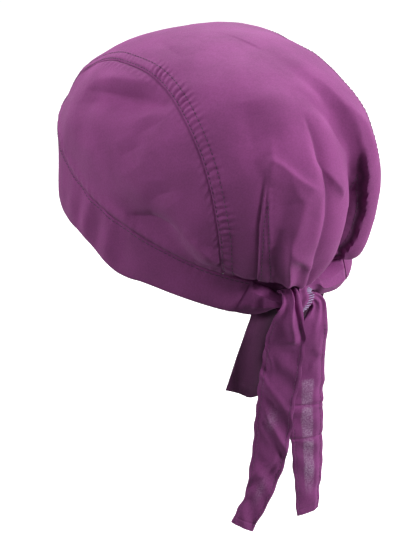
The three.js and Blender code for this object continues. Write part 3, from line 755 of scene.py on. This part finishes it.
def makeTail():
    rows, columns = tail["rows"], tail["columns"]
    backSpan = math.sin(math.radians(cap["backCorner"]))
    tailEdge = math.sin(math.radians(cap["bandEnd"])) / backSpan
    down, share = np.meshgrid(np.linspace(0, 1, rows), np.linspace(-tailEdge, tailEdge, columns),
                              indexing="ij")
    wide = share / tailEdge
    reach = readRows(tailRows, down)
    reach = np.where(share > 0, reach[..., 0], reach[..., 1])
    angle = np.pi - np.arcsin(share * backSpan * reach)
    top = bandTop(np.pi - np.arcsin(share * backSpan))
    low = bandTop(np.array(np.pi)) - cap["tailLength"] + cap["tailCornerRise"] * wide ** 2
    for drop, place, width in tailFoot:
        low = low - drop * bump(wide, place, width)
    p = napePoint(angle)
    p[..., 2] = top + (low - top) * down
    # soft lengthwise folds that start where the ties press the cloth, and a hem at the sides and foot
    fold = tail["fold"] * down * np.sin(5.2 * wide + 0.8 + 1.2 * down)
    fold = (fold + tail["smallFold"] * down * ripple(wide + 0.3 * down, 0.42, 5)) * smooth(down, 0.2, 0.5)
    side = (1 - np.abs(wide)) * tail["halfWide"]
    foot = (1 - down) * cap["tailLength"]
    hem = tail["hemHeight"] * np.maximum(1 - smooth(side, 5.2, 6.2), 1 - smooth(foot, 6, 7))
    hem -= tail["groove"] * np.maximum(bump(side, tail["sideHem"], 0.7) * (foot > 5),
                                       bump(foot, tail["footHem"], 0.7) * (side > 5))
    hem += tail["hemWave"] * (1 - smooth(foot, 5.5, 9)) * ripple(wide * tail["halfWide"], 4.2, 9)
    p = p + planNormal(angle) * (fold + hem)[..., None]
    uv = np.stack([wide * tail["halfWide"], down * cap["tailLength"]], -1)
    # painted shadow of the knot and the ties, a little lighter at its left edge
    shade = smooth(down, 0.0, 0.2) * (tail["dark"] + tail["darkRight"] * (1 - smooth(wide, 0.6, 0.95)))
    piece = shell("tail_cloth", p, inward(p, tail["wall"]), crownCotton, uv, {"shade": shade})
    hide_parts("centre_panel")
    normal = gridNormals(p)
    inset, length = tail["stitchColumn"], slice(int(rows * 0.08), int(rows * 0.9))
    places = ((length, inset), (length, -inset - 1), (int(rows * 0.91), slice(inset, -inset)))
    stitches("tail_stitches", [(p[at], normal[at]) for at in places], stitchThread,
             pitch=2.8, length=2.1, thick=0.36)


makeTail()
print("tail")


# side panels

# rimDark and seamDark: strengths of the painted shade beside the headband and the seam
sides = {
    "rows": 361, "columns": 126, "wall": 1.0, "under": 1.6, "sink": 0.95, "ends": 0.004,
    "seamDip": 0.35, "seamPucker": 0.20, "seamPitch": 5.1, "rimPucker": 0.24, "rimPitch": 9.5,
    "rimSwell": 0.5, "rimDip": 0.3, "rimDark": 0.42, "seamDark": 0.38,
}


def makeSidePanel(hand):
    end = sides["ends"]
    share, out = np.meshgrid(np.linspace(end, 1 - end, sides["rows"]), np.linspace(0, 1, sides["columns"]),
                             indexing="ij")
    side, back = seamPlace(share)
    angle = np.radians(cap["frontCorner"] + (cap["backCorner"] - cap["frontCorner"]) * share)
    s, b = hand * (side + (np.sin(angle) - side) * out), back + (-np.cos(angle) - back) * out
    p, normal, shade = dressed(s, b)
    run = along(p)
    seam = alongColumn(p, 0)
    rim = run[:, -1:] - run
    seed = 40 + 7 * hand
    # cloth dives under the felled strip, with short puckers beside it and over the headband
    lift = -sides["seamDip"] * bump(run, 0, 1.1)
    lift += sides["seamPucker"] * window(run, 0.4, 1.6, 2, 7) * ripple(seam, sides["seamPitch"], seed)
    wave = ripple(seam + 0.4 * rim, sides["rimPitch"], seed + 2)
    lift += sides["rimPucker"] * window(rim, 0, 1, 1, 9) * wave
    lift += sides["rimSwell"] * bump(rim, 3.5, 3.0) - sides["rimDip"] * bump(rim, 0, 0.9)
    # painted shade where it dives under the strip and behind the headband
    shade = shade + sides["rimDark"] * bump(rim, 0.5, 1.1) + sides["seamDark"] * bump(run, 0.3, 0.8)
    shade = np.clip(shade, 0, 1)
    p = p + normal * lift[..., None]
    uv = np.stack([run, seam], -1)
    under = p[:, :1] - unit(p[:, 1:2] - p[:, :1]) * sides["under"] - normal[:, :1] * sides["sink"]
    outer = np.concatenate([under, p[:, 1:], tucked(p[:, -1:], normal[:, -1:], tuckedFar)], 1)[:, ::-hand]
    uv = np.concatenate([uv, uv[:, -1:]], 1)[:, ::-hand]
    shade = np.concatenate([shade, shade[:, -1:]], 1)[:, ::-hand]
    name = "left" if hand > 0 else "right"
    piece = shell("side_panel_cloth_" + name, outer, inward(outer, sides["wall"]), crownCotton,
                  uv, {"shade": shade})
    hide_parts("side_panel_" + name)


makeSidePanel(1)
makeSidePanel(-1)
print("side panels")


# headband

band = {
    "around": 601, "high": 35, "wall": 1.7, "topHem": 0.45, "stitchRow": 1.7, "groove": 0.42,
    "topRound": 0.7, "lowRound": 0.8, "pucker": 0.14, "puckerPitch": 6.3, "uneven": 0.28, "endDip": 0.5,
}
# soft folds, strongest at mid height: degrees from the front, width in degrees, depth in mm, lean
bandFolds = [[64, 3.2, .5, 6], [72, 2.6, -.6, 5], [78, 2.4, 1.0, 5], [83, 2.2, -1.6, 5], [88.5, 2.2, 1.9, 5],
             [94, 2.4, -1.7, 5], [99.5, 2.6, 1.5, 4], [106, 3.6, -1.3, 3], [126, 7, -.7, 0], [141, 5, .7, -2]]


def makeHeadband():
    up, turn = np.meshgrid(np.linspace(0, 1, band["high"]), np.linspace(-1, 1, band["around"]), indexing="ij")
    end = np.radians(cap["bandEnd"] + cap["bandEndLean"] * (2 * up - 1))
    angle = turn * end
    degrees = np.abs(np.degrees(angle))
    p = planPoint(angle)
    p[..., 2] = bandBottom(angle) + (bandTop(angle) - cap["gap"] / 2 - bandBottom(angle)) * up
    height = bandTop(angle) - bandBottom(angle)
    high, low = (1 - up) * height, up * height
    run = np.broadcast_to(along(p[band["high"] // 2])[None], up.shape)
    # folds fade towards both edges, so that the headband's outline stays smooth
    shift = np.zeros(up.shape)
    for place, width, depth, lean in bandFolds:
        shift += depth * bump(degrees, place + lean * (up - 0.5), width)
    shift *= (1 - 0.7 * up) * smooth(up, -0.1, 0.4)
    shift += band["topHem"] * (1 - smooth(high, 0.5, 2.4))
    shift -= band["groove"] * bump(high, band["stitchRow"], 0.7)
    shift -= band["topRound"] * np.exp(-high / 0.5) + band["lowRound"] * np.exp(-low / 0.7)
    shift += band["pucker"] * bump(high, 3, 3) * ripple(run, band["puckerPitch"], 17)
    shift += band["uneven"] * mottle(p, 40, 8)
    shift -= band["endDip"] * smooth(degrees / np.degrees(end), 0.985, 1.0)
    p = p + planNormal(angle) * shift[..., None]
    wall = band["wall"] - 0.9 * np.exp(-high / 0.5) - 0.9 * np.exp(-low / 0.7)
    inner = p - planNormal(angle) * wall[..., None]
    uv = np.stack([run, up * height], -1)
    piece = shell("headband_cloth", p[:, ::-1], inner[:, ::-1], bandCotton, uv[:, ::-1])
    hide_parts("headband")
    normal = gridNormals(p[:, ::-1])[:, ::-1]
    line = lineOnGrid(p[::-1].swapaxes(0, 1), normal[::-1].swapaxes(0, 1), high[::-1].T, band["stitchRow"])
    stitches("band_stitches", [line], stitchThread)


makeHeadband()
print("headband")


# ties

knotAngle = math.pi - math.asin(cap["knotOffset"] / halfWidth)
wrapRear = 1.17
knotCentre = napePoint(np.array(knotAngle)) + planNormal(np.array(knotAngle)) * (
    cap["knotRadius"] * wrapRear + cap["tieWall"] + cap["gap"])
knotCentre[2] = middleHeight(np.array(math.pi)) - cap["knotDrop"]

tie = {
    "columns": 56, "sewnInward": 0.9, "sewnPlaces": [[-3.4, 1.9], [0.9, 0.8]],  # onward, inward of the seam
    "leastWall": 0.9, "bundleFrom": 0.12, "bundleTo": 0.5,  # thickness as a share of width
    "sheetPower": 8, "bundlePower": 2.4,                    # the section's roundness
    "hemAt": 0.80, "hem": 0.14, "hemGroove": 0.12, "footHem": 4.2, "footGroove": 0.28, "stitchAt": 0.78,
    "overlockFrom": 45.4, "overlockTo": 68.0, "overlockPitch": 1.5,
}
# along, off, lift, width, thickness, turn
leadRowsLeft = [[.18, .05, -.10, .88, 1.1, 0], [.36, .22, -.16, .72, 1.4, 0], [.58, .72, -.04, .37, 3.1, 0]]
leadRowsRight = [[.18, .05, -.05, .84, 1.1, 0], [.40, .12, 0, .68, 1.3, 0], [.62, .26, .34, .62, 1.4, 6],
                 [.80, .58, .92, .50, 1.4, 30]]
# side, out, drop, width, thickness, turn
knotRowsLeft = [[1.30, 0, 0, .31, 4.8, 0], [0, 0, .02, .32, 5.1, 0], [-1.05, .03, .10, .34, 4.4, 20],
                [-1.45, .30, .70, .52, 2.8, 70], [-1.15, .62, 1.55, .70, 1.8, 90]]
# degrees over the top, side, radius, width, thickness, turn
wrapRows = [[18, -.10, 1.00, .40, 1.2, 66], [60, .10, 1.02, .46, 1.2, 90], [95, .60, 1.03, .46, 1.2, 90],
            [135, 1.25, 1.05, .44, 1.2, 90], [200, 1.55, 1.10, .40, 1.2, 90],
            [270, 1.50, wrapRear, .40, 1.1, 90], [325, 1.45, 1.34, .39, 1.1, 90],
            [375, 1.72, 1.36, .48, 1.1, 90], [420, 2.18, 1.44, .58, 1.1, 90]]
# drop, side, out, width, thickness
fallRowsFront = [[.05, .76, .42, .78, 1.1], [.12, .77, .37, .94, 1], [.24, .79, .27, 1, 1],
                 [.41, .86, .14, .95, 1], [.64, .92, .01, .90, 1], [.77, 1.02, -.08, .80, 1],
                 [.88, 1.22, -.13, .68, 1], [.94, 1.44, -.17, .68, 1], [1, 1.63, -.21, .64, 1]]
fallRowsBack = [[.115, -.17, .23, .83, 1.4], [.16, -.14, .24, .90, 1.1], [.22, -.09, .21, .97, 1],
                [.36, -.12, .13, 1, 1], [.54, -.19, .05, .96, 1], [.75, -.35, -.05, .86, 1],
                [.92, -.42, -.11, .71, 1], [1, -.44, -.13, .63, 1]]


def station(point, direction, width, thickness):
    return [*point, *direction, width * cap["tieWidth"], thickness * cap["tieWall"]]


def widthDirection(hand, turn, facing=0.0):
    turn, facing = math.radians(turn), math.radians(facing)
    level = np.array([-hand * math.cos(facing), hand * math.sin(facing), 0])
    return np.array([0, 0, math.cos(turn)]) + level * math.sin(turn)


def sewnEnd(hand):
    ends = []
    for up in (0, 1):
        angle = np.array(hand * (math.radians(cap["bandEnd"] + cap["bandEndLean"] * (2 * up - 1))
                                 + 2 * cap["gap"] / halfLength))
        p = planPoint(angle) - planNormal(angle) * tie["sewnInward"]
        p[2] = bandBottom(angle) if up == 0 else bandTop(angle) - cap["gap"]
        ends.append(p)
    low, high = ends
    return station((low + high) / 2, unit(high - low), np.linalg.norm(high - low) / cap["tieWidth"], 1.0)


def behindBand(hand):
    # The tie's own end is sewn to the inside of the headband, so it starts a little before the seam
    angle = np.array(hand * math.radians(cap["bandEnd"]))
    onward = np.cross(planNormal(angle), [0, 0, 1]) * -hand
    made = []
    for ahead, inside in tie["sewnPlaces"]:
        place = np.array(sewnEnd(hand))
        place[:3] += onward * ahead - planNormal(angle) * inside
        made.append(list(place))
    return made


def leadStations(hand, rows):
    start = hand * math.radians(cap["bandEnd"])
    end = knotAngle if hand > 0 else knotAngle - 2 * math.pi
    startHeight = sewnEnd(hand)[2]
    made = []
    for share, off, lift, width, thick, turn in rows:
        angle = np.array(start + (end - start) * share)
        out = cap["gap"] + thick * cap["tieWall"] / 2 + off * cap["knotRadius"]
        p = napePoint(angle) + planNormal(angle) * out
        p[2] = startHeight + (knotCentre[2] - startHeight) * share + lift * cap["knotRadius"]
        made.append(station(p, widthDirection(hand, turn), width, thick))
    return made


def knotStation(hand, turn, side, out, up, width, thick, scale=cap["knotRadius"], facing=0.0):
    place = knotCentre + np.array([side, out, up]) * scale
    return station(place, widthDirection(hand, turn, facing), width, thick)


def knotStations(rows):
    return [knotStation(1, turn, side, out, -drop, width, thick)
            for side, out, drop, width, thick, turn in rows]


def wrapStations(rows):
    made = []
    for over, side, radius, width, thick, turn in rows:
        out, up = radius * math.sin(math.radians(over)), radius * math.cos(math.radians(over))
        made.append(knotStation(-1, turn, side, out, up, width, thick))
    return made


def fallStations(hand, fall, rows, facing):
    scale = np.array([cap["tieWidth"], cap["tieWidth"], fall])
    return [knotStation(hand, 90, side, out, -drop, width, thick, scale, facing)
            for drop, side, out, width, thick in rows]


# The folds of a tie. Places along it are in mm from its sewn end, places across it go from -1 to 1.
# lumps, and thin spots where painted light shows through: height, place and width along, place and width
# across
# ridges that cross the tie: height, place along, slope, width, from and to across
# waves of the hanging end: height, slope, pitch, seed; edges: height, pitch, seed of the edge's two waves
# gathered: rises and falls along; pleats: height, number, drift, phase; roll: side, depth, from across
leftTie = {
    "steps": 560, "hemFrom": 58, "slant": -1.2, "facing": 14,
    "leadEnd": 30, "crests": (0.45, -0.35), "gathered": (22, 34, 48, 60), "pleats": (0.5, 8, 0.10, 0),
    "hung": (58, 78), "cupPhase": 0.3, "roll": (1, 1.9, 0.45),
    "lumps": [[0.6, 62, 12, 0.15, 0.25], [-0.8, 55, 9, 0.55, 0.2]],
    "ridges": [[0.7, 88, -9, 4, 0.1, 2], [0.6, 76, 7, 3.5, 0.2, 2]],
    "waves": [[0.6, 5, 31, 71], [0.5, -9, 17, 72]], "edges": [[0.3, 11, 73], [0.2, 31, 74]],
    "swellPitch": 12.5, "thin": 0.66, "thinRun": (95, 98, 160, 176), "thinEdge": (0.22, 0.38),
}
rightTie = {
    "steps": 700, "hemFrom": 108, "slant": 3.0, "facing": 40,
    "leadEnd": 42, "crests": (-0.5, 0.25), "gathered": (74, 86, 100, 116), "pleats": (0.35, 7, 0, 0.8),
    "hung": (104, 130), "cupPhase": 0.4, "roll": (-1, 1.1, 0.55),
    "lumps": [[-0.7, 132, 4, 0.4, 0.4]],
    "ridges": [[0.9, 151, 22, 3.5, -2, -0.45], [-0.7, 160, 22, 4, -2, -0.5], [1.3, 161, 13, 4, -2, 2],
               [-0.7, 170, 14, 5, -2, 2], [1.2, 180, 16, 3.5, -0.5, 2], [-0.6, 188, 15, 4.5, -2, 2],
               [0.8, 204, -11, 3.5, -2, 0.5], [-0.6, 212, -10, 3.5, -2, 0.4]],
    "waves": [[0.55, -12, 30, 81], [0.45, -10, 15, 82]], "edges": [[0.35, 12, 83], [0.2, 29, 84]],
    "overKnot": (42, 50, 70, 80), "lipRun": (98, 122), "rollRun": (88, 100, 123, 128), "footTurn": (222, 236),
    "thinSpots": [[0.25, 175, 6, -0.1, 0.25], [0.2, 221, 7, 0.0, 0.3]],
}
# creases where the left tie was folded flat: place along, slope, place of the swell after it
pressed = [[113.4, 1.5, 116.5], [135.5, 0.8, 138.5]]


def makeTie(name, hand, stations, sizes, relief, thin):
    # Flat tube carried along the stations: thick where the cloth is gathered, a thin sheet where it hangs.
    # relief gives outward shift, edge shift and pleats from run (mm from the start) and w (-1 left, 1 right)
    rows = np.array(stations, float)
    run = along(rows[:, :3])
    steps, columns = sizes["steps"], tie["columns"]
    t = np.linspace(0, run[-1], steps)
    read = readRows(np.column_stack([run, rows]), t)
    centreLine, across = read[:, :3], unit(read[:, 3:6])
    width, thick = read[:, 6], np.maximum(read[:, 7], tie["leastWall"])
    forward = unit(np.gradient(centreLine, axis=0))
    facing = unit(np.cross(forward, across)) * hand
    # bundle is 0 for a sheet, which is thinned, and 1 for a bundle, whose section is rounder
    bundle = smooth(thick / width, tie["bundleFrom"], tie["bundleTo"])
    thick = np.where(bundle < 1, np.minimum(thick, 0.95 + (thick - 0.95) * smooth(thick, 1.3, 2.6)), thick)
    power = tie["sheetPower"] + (tie["bundlePower"] - tie["sheetPower"]) * bundle
    q = np.sin(np.linspace(-np.pi / 2, np.pi / 2, columns)) * 0.4 + np.linspace(-1, 1, columns) * 0.6
    lens = np.sqrt(np.maximum(1 - np.abs(q)[None] ** power[:, None], 0.02))
    w = q[None] * hand
    mid, edge, pleat = relief(t[:, None], w)
    hung = smooth(t, sizes["hemFrom"], sizes["hemFrom"] + 12)[:, None]
    hem = tie["hem"] * smooth(np.abs(w), tie["hemAt"], tie["hemAt"] + 0.04)
    hem = hung * (hem - tie["hemGroove"] * bump(np.abs(w), tie["hemAt"], 0.03))
    foot = run[-1] - t[:, None]
    hem = hem - tie["footGroove"] * hung * bump(foot, tie["footHem"], 0.5)
    slant = sizes["slant"] * w * (1 - smooth(foot, 0, 30))
    reach = q[None] * width[:, None] / 2 + edge * np.sign(q)[None]
    place = (centreLine[:, None] + across[:, None] * reach[..., None] + facing[:, None] * mid[..., None]
             + forward[:, None] * slant[..., None])
    half = thick[:, None] / 2 * lens + pleat + hem
    top, low = place + facing[:, None] * half[..., None], place - facing[:, None] * half[..., None]
    count = steps * columns
    ring = ringOf(np.arange(count).reshape(steps, columns))
    nxt = np.roll(ring, -1)
    rim = np.stack([ring, nxt, nxt + count, ring + count], -1)
    faceGroups = [gridFaces(steps, columns, 0, True), gridFaces(steps, columns, count), rim]
    uv = np.stack(np.broadcast_arrays(q * cap["tieWidth"] / 2, t[:, None]), -1).reshape(-1, 2)
    points = np.concatenate([top.reshape(-1, 3), low.reshape(-1, 3)])
    show = np.broadcast_to(thin(t[:, None], w), (steps, columns))
    piece = makeMesh("tie_cloth_" + name, points, [group[:, ::hand] for group in faceGroups],
                     tieCotton, np.tile(uv, (2, 1)), {"thin": np.tile(show.ravel(), 2)}, sharp=60)
    return piece, top, facing, t, w[0]


def slantedRidge(run, w, start, slope, width, low, high):
    # Fold that crosses the tie: its crest lies at start + slope * w, from low to high across
    return bump(run, start + slope * w, width) * window(w, low - 0.2, low + 0.2, high - 0.2, high + 0.2)


def leadFolds(run, w, end, first, second):
    # The sewn end swells out over the nape and folds lengthwise towards the knot
    hold = window(run, 2, 12, end - 8, end + 4)
    crests = 1.3 * np.exp(-np.abs(w - first) / 0.2) + 1.2 * np.exp(-np.abs(w - second) / 0.2)
    return hold * (4.6 * (1 - w ** 2) - 0.6 + crests)


def lumps(run, w, rows):
    return sum(height * bump(run, place, length) * bump(w, at, width)
               for height, place, length, at, width in rows)


def sharedRelief(run, w, sizes):
    # What both ties have: the lead's folds, a cupped, wavy hanging end with one edge rolled back, the lumps
    # and ridges of its table, wavy edges, and pleats where the cloth is gathered. hung is 1 where it hangs
    hung = smooth(run, *sizes["hung"])
    side, depth, start = sizes["roll"]
    mid = leadFolds(run, w, sizes["leadEnd"], *sizes["crests"]) + lumps(run, w, sizes["lumps"])
    mid = mid + hung * (0.5 * np.cos(2.4 * w + sizes["cupPhase"]) - depth * smooth(side * w, start, 1.0))
    for height, slope, pitch, seed in sizes["waves"]:
        mid = mid + hung * height * ripple(run + slope * w, pitch, seed)
    for height, *ridge in sizes["ridges"]:
        mid = mid + height * slantedRidge(run, w, *ridge)
    (outer, outerPitch, outerSeed), (both, bothPitch, bothSeed) = sizes["edges"]
    edge = outer * hung * np.abs(w) * ripple(run, outerPitch, outerSeed)
    edge = edge + both * hung * ripple(run, bothPitch, bothSeed)
    height, number, drift, phase = sizes["pleats"]
    pleat = height * window(run, *sizes["gathered"]) * np.cos(number * w + drift * run + phase)
    pleat = pleat * (1 - np.abs(w) ** 4)
    return mid, edge, pleat, hung


def leftRelief(run, w):
    mid, edge, pleat, hung = sharedRelief(run, w, leftTie)
    for place, slope, swell in pressed:
        mid = mid - 0.8 * hung * bump(run, place + slope * w, 0.9) + 0.5 * hung * bump(run, swell, 3)
    mid = mid + 0.45 * hung * ripple(run + 2.5 * w, leftTie["swellPitch"], 76) * (0.5 + 0.5 * np.abs(w))
    return mid, edge, pleat


def rightRelief(run, w):
    mid, edge, pleat, _ = sharedRelief(run, w, rightTie)
    # flat band over the knot
    over = window(run, *rightTie["overKnot"])
    mid = mid + over * (0.45 * np.cos(5 * w + 0.6) + 0.2 * ripple(run + 3 * w, 5.5, 84))
    # roll where the tie comes out of the knot, with a lit lip and a recess beside it
    lip = -0.05 + 0.5 * smooth(run, *rightTie["lipRun"])
    ridge = np.where(w < lip, bump(w, lip, 0.36), bump(w, lip, 0.17))
    mid = mid + window(run, *rightTie["rollRun"]) * (2.7 * ridge - 1.5 * bump(w, lip + 0.36, 0.17))
    # the foot turns back on its right
    mid = mid - 0.8 * smooth(run, *rightTie["footTurn"]) * smooth(w, -1, 1)
    return mid, edge, pleat


def leftThin(run, w):
    # Strip of single cloth along the middle, where painted light shows through, broken by the pressed creases
    strip = (1 - smooth(np.abs(w + 0.02), *leftTie["thinEdge"])) * window(run, *leftTie["thinRun"])
    for place, _, _ in pressed:
        strip = strip * (1 - 0.8 * bump(run, place, 1.6))
    return leftTie["thin"] * strip * (0.72 + 0.28 * ripple(run, 21, 91) * np.cos(3 * w))


def rightThin(run, w):
    # spots of single cloth where painted light shows through
    return lumps(run, w, rightTie["thinSpots"])


def edgeLines(top, facing, t, w, sizes):
    # The stitch rows along both edges of a hanging end
    hung = t > sizes["hemFrom"] + 4
    columns = [np.argmin(np.abs(w - share)) for share in (-tie["stitchAt"], tie["stitchAt"])]
    return [(top[hung, column], facing[hung]) for column in columns]


def makeTies():
    stations = behindBand(1) + leadStations(1, leadRowsLeft) + knotStations(knotRowsLeft)
    stations += fallStations(1, cap["tieFallBack"], fallRowsBack, leftTie["facing"])
    piece, top, facing, t, w = makeTie("left", 1, stations, leftTie, leftRelief, leftThin)
    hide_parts("tie_left")
    lines = edgeLines(top, facing, t, w, leftTie)
    stations = behindBand(-1) + leadStations(-1, leadRowsRight) + wrapStations(wrapRows)
    stations += fallStations(-1, cap["tieFallFront"], fallRowsFront, rightTie["facing"])
    piece, top, facing, t, w = makeTie("right", -1, stations, rightTie, rightRelief, rightThin)
    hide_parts("tie_right")
    lines += edgeLines(top, facing, t, w, rightTie)
    stitches("tie_stitches", lines, edgeThread, pitch=2.6, length=2.0, thick=0.28)
    # overlock threads over the right edge of the band on the knot
    lines, share, order = [], np.linspace(1.0, 0.1, 6), np.argsort(w)
    for run in np.arange(tie["overlockFrom"], tie["overlockTo"], tie["overlockPitch"]):
        step = np.argmin(np.abs(t - run))
        lines.append((readLine(share, w[order], top[step, order]), np.tile(facing[step], (6, 1))))
    stitches("overlock_stitches", lines, overlockThread, pitch=3.0, length=4.6, thick=0.55,
             lift=0.15)


makeTies()
print("ties")


# surroundings

studio = {
    "azimuth": 144, "elevation": 20, "distance": 1.3, "pixel": 0.592 * mm, "originAt": (202.5, 190.0),
    "frame": (420, 540), "sensor": 36, "floorHeight": -0.42, "floorHalf": 14, "lampDistance": 1.8,
    "floor": {"Base Color": (0.92, 0.92, 0.92, 1), "Roughness": 0.9, "Emission Color": (1, 1, 1, 1),
              "Emission Strength": 0.55},
    "skyFrom": -0.4, "skyTo": 0.5, "skyLow": 0.02, "skyHigh": 0.05,
}
# azimuth, elevation, size, power; azimuth 144 is the camera's side, 54 the picture's left and 234 its right
softboxes = {
    "top_softbox": (144, 80, 0.8, 5),
    "back_softbox": (324, 45, 0.8, 28),
    "right_softbox": (205, 50, 0.5, 3),
    "right_low_softbox": (214, 12, 0.4, 26),
    "right_back_softbox": (258, 20, 0.5, 10),
    "left_back_softbox": (26, 42, 0.8, 4.5),
    "left_low_softbox": (66, 26, 0.6, 15),
    "left_front_softbox": (112, 26, 0.5, 2.4),
}


def placeAround(name, data, azimuth, elevation, distance):
    # An object that looks at the origin from an azimuth and elevation
    a, e = math.radians(azimuth), math.radians(elevation)
    thing = bpy.data.objects.new(name, data)
    thing.location = np.array([math.sin(a) * math.cos(e), -math.cos(a) * math.cos(e), math.sin(e)]) * distance
    thing.rotation_euler = (math.pi / 2 - e, 0, a)
    bpy.context.scene.collection.objects.link(thing)
    return thing


def makeCamera():
    data = bpy.data.cameras.new("camera")
    wide, tall = studio["frame"]
    data.sensor_width = studio["sensor"]
    data.lens = studio["distance"] * studio["sensor"] / (tall * studio["pixel"])
    data.shift_x = (wide / 2 - studio["originAt"][0]) / tall
    data.shift_y = (studio["originAt"][1] - tall / 2) / tall
    bpy.context.scene.camera = placeAround("camera", data, studio["azimuth"], studio["elevation"],
                                           studio["distance"])


def makeFloor():
    mesh = bpy.data.meshes.new("floor")
    h, r = studio["floorHeight"], studio["floorHalf"]
    mesh.from_pydata([(-r, -r, h), (r, -r, h), (r, r, h), (-r, r, h)], [], [(0, 1, 2, 3)])
    mat, shader = newMaterial("floor_white")
    setInputs(shader, studio["floor"])
    mesh.materials.append(mat)
    floor = bpy.data.objects.new("floor", mesh)
    bpy.context.scene.collection.objects.link(floor)
    floor.visible_diffuse = False


def makeLight():
    for name, (azimuth, elevation, size, power) in softboxes.items():
        data = bpy.data.lights.new(name, "AREA")
        data.shape, data.size, data.energy = "DISK", size, power
        placeAround(name, data, azimuth, elevation, studio["lampDistance"])
    # the sky is a little brighter above
    world = bpy.data.worlds.new("studio")
    bpy.context.scene.world = world
    world.use_nodes = True
    place = addNode(world, "TexCoord").outputs["Generated"]
    split = addNode(world, "SeparateXYZ", {"Vector": place})
    strength = spread(world, split.outputs["Z"], studio["skyLow"], studio["skyHigh"], studio["skyFrom"],
                      studio["skyTo"])
    setInputs(world.node_tree.nodes["Background"], {"Strength": strength, "Color": (1, 1, 1, 1)})
    view = bpy.context.scene.view_settings
    view.view_transform, view.look, view.exposure = "Standard", "None", 0.0


makeCamera()
makeFloor()
makeLight()
print("camera, floor and light")
